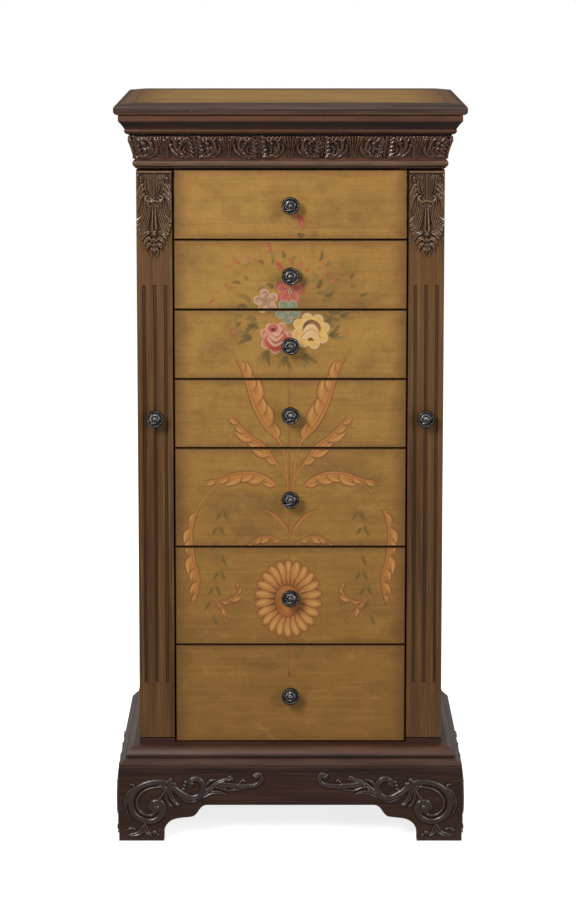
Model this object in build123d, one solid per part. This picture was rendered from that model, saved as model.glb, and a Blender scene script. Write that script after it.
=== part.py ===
from build123d import *
from math import asin, cos, pi, sin
import os

os.makedirs("parts", exist_ok=True)

# Jewelry armoire: seven drawers, two side doors behind fluted pilasters, and a hinged lid over a
# divided tray. Millimetres, +X to the viewer's right, +Y to the back, +Z up. The origin is on the
# floor under the middle of the whole object.

# Body, measured over the closed side doors and from the drawer faces to the back panel
body_width = 416.0
body_depth = 315.0

# Plinth and base moulding
plinth_height = 106.5
plinth_overhang = 28.0
plinth_board = 18.0
foot_width = 62.0
foot_toe = 9.0
arch_height = 51.0
arch_shoulder = 60.0
back_rail_height = 55.5
foot_block_side = 30.0
foot_block_lift = 3.0
base_moulding_rise = 22.5
base_seat_rise = 1.0
base_bevel_rise = 7.0
base_bevel_run = 8.0
base_quirk_depth = 3.5
base_quirk_height = 1.2
base_shoulder_run = 19.5
floor_seat = 11.5
moulding_seat_width = 18.0

# Carcass boards
floor_board = 14.2
sill_height = 5.0
partition_board = 9.0
back_board = 6.0
post_board = 16.0
tray_board = 12.0
tray_floor_board = 6.0
partition_setback = 0.5
runner_setback = 4.0

# Drawers, from the bottom up
lower_drawer_count = 3
upper_drawer_count = 4
lower_drawer_pitch = 137.4
upper_drawer_pitch = 95.3
drawer_front_width = 315.0
drawer_front_board = 16.0
drawer_gap = 1.8
drawer_side_board = 9.0
drawer_bottom_board = 4.0
drawer_bottom_lift = 5.0
drawer_side_play = 1.5
drawer_box_lift = 10.0
drawer_box_drop = 6.0
drawer_back_play = 12.0
runner_width = 10.0
runner_height = 8.0
runner_play = 0.3
zone_margin = 0.4
tray_reveal = 1.5
front_edge_round = 1.0

# Side doors
pilaster_board = 18.0
pilaster_gap = 2.0
door_panel_frame = 11.0
door_rail = 40.0
door_panel_board = 6.0
door_panel_rebate = 6.0
door_field_margin = 14.0
door_field_share = 0.7
door_gap = 0.8
door_foot_gap = 1.5
door_head_gap = 2.5
flute_radius = 2.3
flute_spacing = 14.6
flute_count = 3
flute_foot = 78.0
flute_head = 158.0
door_knob_height = 588.0

# Necklace hooks on the door frames
hook_rail_board = 7.0
hook_rail_height = 26.0
hook_rail_drop = 12.5
hook_rail_margin = 6.0
hook_count = 6
hook_reach = 16.0
hook_radius = 1.4
hook_ball_radius = 2.6
hook_plate = 1.2
hook_plate_rim = 1.4
hook_tilt = 18.0

# Mouldings round the tray, from the bottom up
bead_height = 13.0
bead_overhang = 4.5
bead_fillet = 1.5
bead_fillet_width = 1.2
frieze_height = 31.0
frieze_foot_overhang = 1.5
frieze_head_overhang = 7.0
frieze_slope_share = 0.8
frieze_roll = 1.0
frieze_leaf_count = 5
frieze_leaf_relief = 2.5
frieze_leaf_share = 0.42
frieze_fan_share = 0.36
crown_height = 28.0
crown_overhang = 22.5
crown_lip = 7.5
crown_fillet_run = 8.5
crown_fillet_bottom = 5.0
crown_fillet_top = 9.0
crown_fillet_bulge = 0.9
moulding_reveal = 0.5

# Lid and mirror
lid_gap = 0.8
lid_thickness = 15.2
lid_overhang = 28.5
lid_rail = 50.0
lid_border = 25.0
lid_border_fall = 1.6
lid_nose_radius = 5.5
lid_panel_board = 8.0
mirror_glass = 3.5
mirror_play = 0.5
mirror_bead = 10.0
housing_overrun = 1.0

# Tray fittings
divider_board = 4.0
divider_height = 48.0
ring_bay_width = 128.0
ring_roll_count = 8
ring_roll_pitch = 20.0
ring_roll_gap = 1.2
ring_roll_height = 38.0
soft_gap = 0.4

# Butt hinges
hinge_axis_offset = 3.2
knuckle_radius = 3.0
pin_radius = 1.25
pin_clearance = 0.05
pin_head_radius = 1.9
pin_head = 1.2
leaf_thickness = 1.3
leaf_split = 0.4
knuckle_count = 5
knuckle_play = 0.3
lid_hinge_length = 40.0
lid_hinge_leaf_width = 11.0
lid_hinge_inset = 78.0
door_hinge_length = 50.0
door_hinge_leaf_width = 9.5
door_hinge_inset = 85.0

# Magnetic catches
magnet_width = 14.0
magnet_depth = 10.0
magnet_height = 12.0
magnet_gap = 0.3
strike_side = 12.0
strike_board = 1.0
strike_margin = 1.0

# Knobs and their screws
knob_radius = 12.0
knob_foot_radius = 7.5
knob_neck_radius = 4.5
knob_projection = 21.5
knob_button_radius = 4.2
knob_foot = 1.6
knob_flare = 4.2
knob_disc = 14.0
knob_disc_edge = 1.6
knob_rim_base = 3.4
knob_rim = 4.6
knob_rim_width = 2.6
screw_radius = 2.0
screw_hole_clearance = 0.25
screw_bore_clearance = 0.05
screw_head_radius = 4.0
screw_head = 2.4
screw_grip = 9.0
screw_tip_play = 1.0

# Carvings
carving_relief = 4.0
corbel_height = 121.0
corbel_relief = 9.0
corbel_side_margin = 0.6
corbel_ledge = 3.5
corbel_ledge_reach = 1.0
corbel_crown_share = 0.16
corbel_tip_share = 0.35

# Places worked out from the sizes above
half_width = body_width / 2
front_reach = plinth_overhang + carving_relief
rear_reach = hinge_axis_offset + knuckle_radius
face_y = -(front_reach + body_depth + rear_reach) / 2 + front_reach
back_y = face_y + body_depth

moulding_bottom = plinth_height
body_bottom = moulding_bottom + base_moulding_rise
floor_bottom = moulding_bottom + floor_seat
floor_top = floor_bottom + floor_board
zone_bottom = floor_top + zone_margin
drawer_zone_height = lower_drawer_count * lower_drawer_pitch + upper_drawer_count * upper_drawer_pitch
tray_bottom = zone_bottom + drawer_zone_height + tray_reveal
bead_bottom = tray_bottom + moulding_reveal
frieze_bottom = bead_bottom + bead_height
crown_bottom = frieze_bottom + frieze_height
body_top = crown_bottom + crown_height
lid_bottom = body_top + lid_gap
lid_top = lid_bottom + lid_thickness
tray_floor_top = tray_bottom + tray_floor_board

pilaster_inner = drawer_front_width / 2 + pilaster_gap
partition_outer = drawer_front_width / 2 - drawer_gap / 4
partition_inner = partition_outer - partition_board
inner_back_y = back_y - back_board
post_front_y = inner_back_y - post_board
door_rear_y = post_front_y - door_gap
door_bottom = floor_top + sill_height + door_foot_gap
door_top = tray_bottom - door_head_gap
door_panel_inner = half_width - door_panel_frame
box_half_width = partition_inner - drawer_side_play
box_front_y = face_y + drawer_front_board
box_back_y = inner_back_y - drawer_back_play
tray_inner_x = half_width - tray_board
tray_front_y = face_y + tray_board
tray_back_y = back_y - tray_board
frieze_leaf_pitch = body_width / frieze_leaf_count


def board(x0, x1, y0, y1, z0, z1):
    """A straight board between two corners."""
    centre = Pos((x0 + x1) / 2, (y0 + y1) / 2, (z0 + z1) / 2)
    return centre * Box(abs(x1 - x0), abs(y1 - y0), abs(z1 - z0))


def save(name, solids):
    """Writes one sub-part, which may be a group of separate solids."""
    loose = [solid for shape in solids for solid in shape.solids()]
    export_step(Compound(children=loose), f"parts/{name}.step")


def both_sides(shape):
    """A right-hand shape and its mirror image on the left."""
    return [shape, mirror(shape, about=Plane.YZ)]


def hand(shapes, side):
    """Shapes made for the right side, moved to the left when side is -1."""
    return shapes if side > 0 else [mirror(shape, about=Plane.YZ) for shape in shapes]


def drawer_spans():
    """Bottom and top of each drawer front, from the lowest drawer up."""
    pitches = [lower_drawer_pitch] * lower_drawer_count + [upper_drawer_pitch] * upper_drawer_count
    spans = []
    level = zone_bottom
    for pitch in pitches:
        spans.append((level + drawer_gap / 2, level + pitch - drawer_gap / 2))
        level += pitch
    return spans


def plan_prism(points, bottom, top):
    """A vertical prism over a plan outline."""
    outline = Pos(0, 0, bottom) * make_face(Polyline(*points, close=True))
    return extrude(outline, top - bottom)


def mitred_run(profile, inside, outside, bottom, top):
    """Three mitred lengths of a moulding round the front and sides.

    The profile is a face in the YZ plane whose +Y is the distance out from the body."""
    length = body_width + 2 * outside
    ahead = Pos(-length / 2, face_y, 0) * mirror(Plane.YZ * profile, about=Plane.XZ)
    front_strip = extrude(ahead, length, dir=(1, 0, 0))
    front_region = plan_prism(
        [
            (-half_width - outside, face_y - outside),
            (half_width + outside, face_y - outside),
            (half_width - inside, face_y + inside),
            (inside - half_width, face_y + inside),
        ],
        bottom,
        top,
    )
    side_length = body_depth + outside
    beside = Pos(half_width, back_y, 0) * (Plane.XZ * profile)
    side_strip = extrude(beside, side_length, dir=(0, -1, 0))
    side_region = plan_prism(
        [
            (half_width + outside, face_y - outside),
            (half_width + outside, back_y),
            (half_width - inside, back_y),
            (half_width - inside, face_y + inside),
        ],
        bottom,
        top,
    )
    return [front_strip & front_region, *both_sides(side_strip & side_region)]


# Plinth


def arch_outline(length, rear_foot):
    """Half-open outline of the cut-out between two bracket feet, centred on x = 0."""
    toe = length / 2 - foot_width
    heel = length / 2 - rear_foot
    curve_rise = arch_height - foot_toe

    def ogee(start, direction):
        knee = (start - direction * arch_shoulder * 0.24, foot_toe + curve_rise * 0.52)
        waist = (start - direction * arch_shoulder * 0.62, foot_toe + curve_rise * 0.60)
        crest = (start - direction * arch_shoulder, arch_height)
        lower = Spline((start, foot_toe), knee, waist, tangents=[(0, 1), (-direction, 0.15)])
        upper = Spline(waist, crest, tangents=[(-direction, 0.15), (-direction, 0)])
        return lower, upper, crest

    right_lower, right_upper, right_crest = ogee(toe, 1)
    left_lower, left_upper, left_crest = ogee(-heel, -1)
    return make_face(
        [
            Line((-heel, -1), (toe, -1)),
            Line((toe, -1), (toe, foot_toe)),
            right_lower,
            right_upper,
            Line(right_crest, left_crest),
            left_upper,
            left_lower,
            Line((-heel, foot_toe), (-heel, -1)),
        ]
    )


def plinth_front():
    half = half_width + plinth_overhang
    front = face_y - plinth_overhang
    blank = board(-half, half, front, front + plinth_board, 0, plinth_height)
    cutter = extrude(Plane.XZ * arch_outline(2 * half, foot_width), plinth_board * 2, both=True)
    return [blank - Pos(0, front, 0) * cutter]


def plinth_sides():
    outer = half_width + plinth_overhang
    front = face_y - plinth_overhang + plinth_board
    depth = body_depth + plinth_overhang
    middle = back_y - depth / 2
    blank = board(outer - plinth_board, outer, front, back_y, 0, plinth_height)
    cutter = extrude(Plane.YZ * arch_outline(depth, foot_width), plinth_board * 2, both=True)
    return both_sides(blank - Pos(outer, middle, 0) * cutter)


def plinth_back():
    half = half_width + plinth_overhang - plinth_board
    bottom = plinth_height - back_rail_height
    seat = half_width - moulding_seat_width
    rail = board(-half, half, back_y - plinth_board, back_y, bottom, plinth_height)
    lip = board(-seat, seat, back_y - plinth_board, back_y, plinth_height, floor_bottom)
    return [rail + lip]


def foot_blocks():
    outer = half_width + plinth_overhang - plinth_board
    inner = outer - foot_block_side
    front = face_y - plinth_overhang + plinth_board
    rear = back_y - plinth_board
    blocks = []
    for start in (front, rear - foot_block_side):
        block = board(inner, outer, start, start + foot_block_side, foot_block_lift, plinth_height)
        blocks += both_sides(block)
    return blocks


def base_moulding():
    """A bevel, a quirk and a rounded shoulder that rises to the foot of the body."""
    low = moulding_bottom
    top = body_bottom
    bevel_top = low + base_bevel_rise
    bevel_edge = plinth_overhang - base_bevel_run
    quirk = bevel_edge - base_quirk_depth
    quirk_top = bevel_top + base_quirk_height
    round_foot = (bevel_edge - base_quirk_depth / 2, quirk_top + base_quirk_height)
    round_middle = (round_foot[0] - base_quirk_depth * 0.75, top - base_bevel_rise * 0.8)
    shoulder = (plinth_overhang - base_shoulder_run, top)
    edge = Polyline(
        (-moulding_seat_width, low),
        (plinth_overhang, low),
        (bevel_edge, bevel_top),
        (quirk, bevel_top),
        (quirk, quirk_top),
        round_foot,
    )
    roll = Spline(round_foot, round_middle, shoulder, tangents=[(0.1, 1), (-1, 0.2)])
    inner = Polyline(
        shoulder,
        (0, top + base_seat_rise),
        (0, floor_bottom),
        (-moulding_seat_width, floor_bottom),
        (-moulding_seat_width, low),
    )
    profile = make_face([edge, roll, inner])
    return mitred_run(profile, moulding_seat_width, plinth_overhang, low, top + base_seat_rise)


# Carcass


def carcass_floor():
    deck = board(-half_width, half_width, face_y, back_y - back_board, floor_bottom, floor_top)
    sill = board(pilaster_inner, half_width, face_y, post_front_y, floor_top, floor_top + sill_height)
    return [deck, *both_sides(sill)]


def partition():
    front = box_front_y + partition_setback
    return board(partition_inner, partition_outer, front, inner_back_y, floor_top, tray_bottom)


def back_panel():
    return [board(-half_width, half_width, inner_back_y, back_y, floor_bottom, tray_bottom)]


def rear_posts():
    post = board(partition_outer, half_width, post_front_y, inner_back_y, floor_top, tray_bottom)
    for z in door_hinge_levels():
        post -= door_leaf_space(z, body=True)
    return both_sides(post)


def tray_floor():
    return [board(-tray_inner_x, tray_inner_x, tray_front_y, tray_back_y, tray_bottom, tray_floor_top)]


def tray_walls():
    front = board(-half_width, half_width, face_y, tray_front_y, tray_bottom, body_top)
    side = board(tray_inner_x, half_width, tray_front_y, tray_back_y, tray_bottom, body_top)
    back = board(-half_width, half_width, tray_back_y, back_y, tray_bottom, body_top)
    for x in lid_hinge_places():
        back -= lid_leaf_space(x, body=True)
    return [front, *both_sides(side), back]


def drawer_runners():
    inner = partition_inner - runner_width
    front = box_front_y + runner_setback
    strips = []
    for bottom, _ in drawer_spans():
        top = bottom + drawer_box_lift - runner_play
        strip = board(inner, partition_inner, front, inner_back_y, top - runner_height, top)
        strips += both_sides(strip)
    return strips


# Mouldings round the tray


def bead_moulding():
    """A half-round between two narrow fillets."""
    low, top = bead_bottom, bead_bottom + bead_height
    foot = (bead_fillet_width, low + bead_fillet)
    head = (bead_fillet_width, top - bead_fillet)
    bow = ThreePointArc(foot, (bead_overhang, (low + top) / 2), head)
    edge = Polyline(head, (bead_fillet_width, top), (0, top), (0, low), (bead_fillet_width, low), foot)
    profile = make_face([bow, edge])
    return mitred_run(profile, 0, bead_overhang, low, top)


def frieze_slope():
    """Run and rise of the frieze's leaning face."""
    return Vector(frieze_head_overhang - frieze_foot_overhang, frieze_height * frieze_slope_share)


def leaf_plate(height, width):
    """A pointed leaf with a bellied outline, standing on z = 0 and facing -Y."""
    half = width / 2
    foot, waist, belly, tip = [height * share for share in (0.04, 0.30, 0.72, 0.96)]
    right = Spline((0, foot), (half * 0.72, waist), (half, belly), (0, tip))
    outline = make_face([right, mirror(right, about=Plane.YZ)])
    return extrude(Plane.XZ * outline, frieze_leaf_relief)


def leaf_row(length):
    """Leaves and narrower fans in turn along a length centred on x = 0, with a fan in the middle."""
    slope = frieze_slope()
    lean = Vector(0, 1).get_angle(slope)
    rise = slope.length
    count = int(length / frieze_leaf_pitch)
    row = []
    for i in range(2 * count + 1):
        place = (i - count) * frieze_leaf_pitch / 2
        share = frieze_fan_share if i % 2 == count % 2 else frieze_leaf_share
        plate = leaf_plate(rise, frieze_leaf_pitch * share)
        row.append(Pos(place, -frieze_foot_overhang, frieze_bottom) * Rot(lean, 0, 0) * plate)
    return row


def frieze_moulding():
    """A leaning face under a small roll, with leaves standing on it."""
    top = crown_bottom
    foot = (frieze_foot_overhang, frieze_bottom)
    crest = (frieze_head_overhang, frieze_bottom + frieze_slope().Y)
    head = (frieze_head_overhang - frieze_roll, top)
    face = Line(foot, crest)
    roll = ThreePointArc(crest, (frieze_head_overhang, (crest[1] + top) / 2), head)
    back = Polyline(head, (0, top), (0, frieze_bottom), foot)
    profile = make_face([face, roll, back])
    reach = frieze_head_overhang + frieze_leaf_relief
    front, right, left = mitred_run(profile, 0, reach, frieze_bottom, top)
    for plate in leaf_row(body_width - frieze_leaf_pitch / 2):
        front += Pos(0, face_y, 0) * plate
    middle = (face_y + back_y) / 2
    for plate in leaf_row(body_depth - frieze_leaf_pitch / 2):
        right += Pos(half_width, middle, 0) * Rot(0, 0, 90) * plate
    return [front, *both_sides(right)]


def crown_moulding():
    """A square lip over a cove, a small bulge and an ogee that meets the frieze."""
    top = body_top
    lip_corner = (crown_overhang, top - crown_lip)
    edge = crown_overhang - crown_fillet_run
    fillet_head = (edge, crown_bottom + crown_fillet_top)
    fillet_middle = (edge + crown_fillet_bulge, crown_bottom + (crown_fillet_top + crown_fillet_bottom) / 2)
    fillet_foot = (edge, crown_bottom + crown_fillet_bottom)
    cove_rise = lip_corner[1] - fillet_head[1]
    cove_middle = (edge + crown_fillet_run * 0.26, fillet_head[1] + cove_rise * 0.31)
    ogee_middle = ((edge + frieze_head_overhang) / 2, crown_bottom + crown_fillet_bottom * 0.44)
    ogee_foot = (frieze_head_overhang, crown_bottom)
    lip = Polyline((0, crown_bottom), (0, top), (crown_overhang, top), lip_corner)
    cove = ThreePointArc(lip_corner, cove_middle, fillet_head)
    bulge = ThreePointArc(fillet_head, fillet_middle, fillet_foot)
    ogee = Spline(fillet_foot, ogee_middle, ogee_foot, tangents=[(-0.3, -1), (-0.3, -1)])
    profile = make_face([lip, cove, bulge, ogee, Line(ogee_foot, (0, crown_bottom))])
    return mitred_run(profile, 0, crown_overhang, crown_bottom, top)


# Lid


def lid_hinge_places():
    return [lid_hinge_inset - half_width, half_width - lid_hinge_inset]


def lid_leaf_space(x, body):
    """The housing of one hinge leaf, in the tray's back wall or in the lid."""
    axis_z = body_top + lid_gap / 2
    if body:
        z0, z1 = axis_z - leaf_split / 2 - leaf_thickness, body_top + housing_overrun
    else:
        z0, z1 = lid_bottom - housing_overrun, axis_z + leaf_split / 2 + leaf_thickness
    half = lid_hinge_length / 2
    return board(x - half, x + half, back_y - lid_hinge_leaf_width, back_y + housing_overrun, z0, z1)


def lid_frame():
    """Four rails with a round nose on three sides, a falling border and a rebate for the panel."""
    nose = lid_overhang
    border = nose - lid_border
    inside = lid_rail - lid_overhang
    ledge = lid_top - lid_panel_board
    shoulder = lid_top - lid_border_fall
    radius = lid_nose_radius
    bow = radius * (1 - cos(pi / 4))
    foot = (nose - radius, lid_bottom)
    inner = Polyline(foot, (-inside, lid_bottom), (-inside, ledge), (border, ledge), (border, lid_top))
    fall = Line((border, lid_top), (nose - radius, shoulder))
    crest = ThreePointArc((nose - radius, shoulder), (nose - bow, shoulder - bow), (nose, shoulder - radius))
    side = Line((nose, shoulder - radius), (nose, lid_bottom + radius))
    belly = ThreePointArc((nose, lid_bottom + radius), (nose - bow, lid_bottom + bow), foot)
    profile = make_face([inner, fall, crest, side, belly])
    front, right, left = mitred_run(profile, inside, nose, lid_bottom, lid_top)
    half = half_width - inside
    rear = board(-half, half, back_y - lid_rail, back_y, lid_bottom, lid_top)
    rear -= board(-half, half, back_y - lid_rail, back_y - lid_border, ledge, lid_top)
    for x in lid_hinge_places():
        rear -= lid_leaf_space(x, body=False)
    reach = half_width + border
    corner = board(half, reach, back_y - lid_border, back_y, ledge, lid_top)
    return [front, right + corner, left + mirror(corner, about=Plane.YZ), rear]


def lid_panel():
    half = half_width + lid_overhang - lid_border
    front = face_y - lid_overhang + lid_border
    return [board(-half, half, front, back_y - lid_border, lid_top - lid_panel_board, lid_top)]


def lid_opening():
    """Half width, front and back of the opening inside the lid's rails."""
    half = half_width + lid_overhang - lid_rail
    return half, face_y - lid_overhang + lid_rail, back_y - lid_rail


def lid_mirror():
    half, front, back = lid_opening()
    top = lid_top - lid_panel_board
    play = mirror_play
    return [board(-half + play, half - play, front + play, back - play, top - mirror_glass, top)]


def mirror_frame():
    """Four beads that hold the mirror in the lid."""
    half, front, back = lid_opening()
    top = lid_top - lid_panel_board - mirror_glass
    ahead = board(-half, half, front, front + mirror_bead, lid_bottom, top)
    behind = board(-half, half, back - mirror_bead, back, lid_bottom, top)
    beside = board(half - mirror_bead, half, front + mirror_bead, back - mirror_bead, lid_bottom, top)
    return [ahead, behind, *both_sides(beside)]


# Tray fittings


def tray_dividers():
    floor, top = tray_floor_top, tray_floor_top + divider_height
    bay = ring_bay_width / 2
    long_divider = board(bay, bay + divider_board, tray_front_y, tray_back_y, floor, top)
    middle = (tray_front_y + tray_back_y - divider_board) / 2
    side_cross = board(bay + divider_board, tray_inner_x, middle, middle + divider_board, floor, top)
    ring_end = tray_front_y + ring_roll_count * ring_roll_pitch + 2 * soft_gap
    ring_cross = board(-bay, bay, ring_end, ring_end + divider_board, floor, top)
    return [*both_sides(long_divider), *both_sides(side_cross), ring_cross]


def ring_rolls():
    """Padded rolls that hold rings upright between them, plain outer shapes."""
    half = ring_bay_width / 2 - soft_gap
    radius = (ring_roll_pitch - ring_roll_gap) / 2
    shoulder = ring_roll_height - radius
    section = make_face(
        [
            Polyline((radius, shoulder), (radius, 0), (-radius, 0), (-radius, shoulder)),
            ThreePointArc((-radius, shoulder), (0, ring_roll_height), (radius, shoulder)),
        ]
    )
    roll = extrude(Plane.YZ * section, half, both=True)
    first = tray_front_y + soft_gap + ring_roll_pitch / 2
    return [Pos(0, first + i * ring_roll_pitch, tray_floor_top) * roll for i in range(ring_roll_count)]


# Hinges


def knuckle_spans(length):
    """Start and end of each knuckle along the pin."""
    pitch = length / knuckle_count
    play = knuckle_play / 2
    starts = [i * pitch - length / 2 for i in range(knuckle_count)]
    return [(start + play, start + pitch - play) for start in starts]


def hinge_leaf(length, width, fixed):
    """One leaf with its knuckles. The pin's axis is X, and the leaf reaches towards -Y."""
    low = -leaf_split / 2 - leaf_thickness if fixed else leaf_split / 2
    high = low + leaf_thickness
    edge = -hinge_axis_offset
    leaf = board(-length / 2, length / 2, edge - width, edge, low, high)
    for i, (start, end) in enumerate(knuckle_spans(length)):
        if (i % 2 == 0) == fixed:
            barrel = Pos((start + end) / 2, 0, 0) * Rot(0, 90, 0) * Cylinder(knuckle_radius, end - start)
            leaf += board(start, end, edge, 0, low, high)
            leaf += barrel
    return leaf - Rot(0, 90, 0) * Cylinder(pin_radius + pin_clearance, length * 2)


def hinge_pin(length):
    reach = length / 2 - knuckle_play / 2
    pin = Rot(0, 90, 0) * Cylinder(pin_radius, 2 * reach)
    for end in (-1, 1):
        pin += Pos(end * (reach + pin_head / 2), 0, 0) * Rot(0, 90, 0) * Cylinder(pin_head_radius, pin_head)
    return pin


def lid_hinge_planes():
    axis_y = back_y + hinge_axis_offset
    axis_z = body_top + lid_gap / 2
    return [Location(Plane((x, axis_y, axis_z))) for x in lid_hinge_places()]


def door_hinge_levels():
    low = door_bottom + door_hinge_inset
    high = door_top - door_hinge_inset
    return [low, (low + high) / 2, high]


def door_axis_y():
    return (door_rear_y + post_front_y) / 2


def door_hinge_planes():
    """The right door's hinges, with the moving leaf ahead of the fixed one."""
    x, y = half_width + hinge_axis_offset, door_axis_y()
    places = [(x, y, z) for z in door_hinge_levels()]
    return [Location(Plane(place, x_dir=(0, 0, -1), z_dir=(0, -1, 0))) for place in places]


def door_leaf_space(z, body):
    """The housing of one hinge leaf, in the rear post or in the door."""
    axis = door_axis_y()
    if body:
        y0, y1 = post_front_y - housing_overrun, axis + leaf_split / 2 + leaf_thickness
    else:
        y0, y1 = axis - leaf_split / 2 - leaf_thickness, door_rear_y + housing_overrun
    x0, x1 = half_width - door_hinge_leaf_width, half_width + housing_overrun
    half = door_hinge_length / 2
    return board(x0, x1, y0, y1, z - half, z + half)


def lid_hinge_body_leaves():
    solids = []
    for place in lid_hinge_planes():
        solids.append(place * hinge_leaf(lid_hinge_length, lid_hinge_leaf_width, fixed=True))
        solids.append(place * hinge_pin(lid_hinge_length))
    return solids


def lid_hinge_lid_leaves():
    leaf = hinge_leaf(lid_hinge_length, lid_hinge_leaf_width, fixed=False)
    return [place * leaf for place in lid_hinge_planes()]


def door_hinge_body_leaves():
    solids = []
    for place in door_hinge_planes():
        solids += both_sides(place * hinge_leaf(door_hinge_length, door_hinge_leaf_width, fixed=True))
        solids += both_sides(place * hinge_pin(door_hinge_length))
    return solids


# Magnetic catches


def pilaster_middle():
    return (pilaster_inner + half_width) / 2


def door_magnets():
    x0 = pilaster_middle() - magnet_width / 2
    x1 = x0 + magnet_width
    front = face_y + pilaster_board + strike_board + magnet_gap
    solids = []
    for bottom in (floor_top + sill_height, tray_bottom - magnet_height):
        block = board(x0, x1, front, front + magnet_depth, bottom, bottom + magnet_height)
        solids += both_sides(block)
    return solids


def strike_plates():
    x = pilaster_middle()
    back = face_y + pilaster_board
    half = strike_side / 2
    inset = strike_margin + half
    plates = []
    for z in (door_bottom + inset, door_top - inset):
        plates.append(board(x - half, x + half, back, back + strike_board, z - half, z + half))
    return plates


# Knobs


def knob():
    """A turned knob with a raised rim and a domed button, standing on the XY plane along +Z."""
    bore = screw_radius + screw_bore_clearance
    disc = knob_disc
    rim_top = disc + knob_rim
    dome_rise = knob_projection - rim_top
    dome_radius = (knob_button_radius**2 + dome_rise**2) / (2 * dome_rise)
    half_angle = asin(knob_button_radius / dome_radius) / 2
    dome_middle = (dome_radius * sin(half_angle), knob_projection - dome_radius * (1 - cos(half_angle)))
    outline = Polyline(
        (0, 0),
        (knob_foot_radius, 0),
        (knob_foot_radius, knob_foot),
        (knob_neck_radius, knob_flare),
        (knob_neck_radius, disc - knob_flare / 2),
        (knob_radius - knob_disc_edge, disc),
        (knob_radius, disc + knob_disc_edge),
        (knob_radius, disc + knob_rim_base),
        (knob_radius - knob_rim_width / 3, rim_top),
        (knob_radius - knob_rim_width, rim_top),
        (knob_radius - knob_rim_width * 1.4, disc + knob_rim_base),
        (knob_button_radius, rim_top),
    )
    dome = ThreePointArc((knob_button_radius, rim_top), dome_middle, (0, knob_projection))
    profile = make_face([outline, dome, Line((0, knob_projection), (0, 0))])
    turned = revolve(Plane.XZ * profile, Axis.Z)
    return turned - Pos(0, 0, screw_grip / 2) * Cylinder(bore, screw_grip)


def knob_screw(board_thickness):
    """A pan-head screw from behind the board, standing along +Z with the board's face at z = 0."""
    tip = screw_grip - screw_tip_play
    shank = Pos(0, 0, (tip - board_thickness) / 2) * Cylinder(screw_radius, tip + board_thickness)
    pan = Pos(0, 0, -board_thickness - screw_head / 2) * Cylinder(screw_head_radius, screw_head)
    return shank + pan


def knob_place(x, z):
    """A place on the front face that points out towards -Y."""
    return Location(Plane((x, face_y, z), x_dir=(1, 0, 0), z_dir=(0, -1, 0)))


def knob_hole(x, z, thickness):
    drill = Pos(0, 0, -thickness / 2) * Cylinder(screw_radius + screw_hole_clearance, thickness * 2)
    return knob_place(x, z) * drill


# Side doors


def door_frame():
    """Fluted pilaster, two stiles, two rails and the hook rail of the right door."""
    back = face_y + pilaster_board
    x0, x1 = door_panel_inner, half_width
    z0, z1 = door_bottom, door_top
    rail_front, rail_back = back + door_rail, door_rear_y - door_rail
    front_stile = board(x0, x1, back, rail_front, z0, z1)
    rear_stile = board(x0, x1, rail_back, door_rear_y, z0, z1)
    for z in door_hinge_levels():
        rear_stile -= door_leaf_space(z, body=False)
    low_rail = board(x0, x1, rail_front, rail_back, z0, z0 + door_rail)
    high_rail = board(x0, x1, rail_front, rail_back, z1 - door_rail, z1)
    members = [member - panel_blank() for member in (front_stile, rear_stile, low_rail, high_rail)]
    return [pilaster(), *members, board(*hook_rail_span())]


def pilaster():
    """The front post of the right door, with three flutes and a hole for the knob's screw."""
    post = board(pilaster_inner, half_width, face_y, face_y + pilaster_board, door_bottom, door_top)
    post = fillet(post.edges().filter_by(Axis.Z).sort_by(Axis.Y)[:2], front_edge_round)
    low, high = door_bottom + flute_foot, door_top - flute_head
    flute = Pos(0, 0, (low + high) / 2) * Cylinder(flute_radius, high - low)
    flute += Pos(0, 0, low) * Sphere(flute_radius)
    flute += Pos(0, 0, high) * Sphere(flute_radius)
    for i in range(flute_count):
        x = pilaster_middle() + (i - (flute_count - 1) / 2) * flute_spacing
        post -= Pos(x, face_y, 0) * flute
    return post - knob_hole(pilaster_middle(), door_knob_height, pilaster_board)


def panel_blank():
    """The door panel's edge, which sits in a rebate on the inside of the frame."""
    rebate = door_panel_rebate
    return board(
        door_panel_inner,
        door_panel_inner + door_panel_board,
        face_y + pilaster_board + door_rail - rebate,
        door_rear_y - door_rail + rebate,
        door_bottom + door_rail - rebate,
        door_top - door_rail + rebate,
    )


def door_panel():
    """A panel with a raised and bevelled field."""
    inset = door_rail + door_field_margin
    rise = (door_panel_frame - door_panel_board) * door_field_share
    y0, y1 = face_y + pilaster_board + inset, door_rear_y - inset
    z0, z1 = door_bottom + inset, door_top - inset
    face_x = door_panel_inner + door_panel_board
    field = board(face_x, face_x + rise, y0, y1, z0, z1)
    field = chamfer(field.faces().sort_by(Axis.X)[-1].edges(), rise * 0.9)
    return [panel_blank() + field]


def hook_rail_span():
    """The hook rail's two ends along each axis."""
    z1 = door_top - hook_rail_drop
    return (
        door_panel_inner - hook_rail_board,
        door_panel_inner,
        face_y + pilaster_board + hook_rail_margin,
        door_rear_y - hook_rail_margin,
        z1 - hook_rail_height,
        z1,
    )


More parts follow.
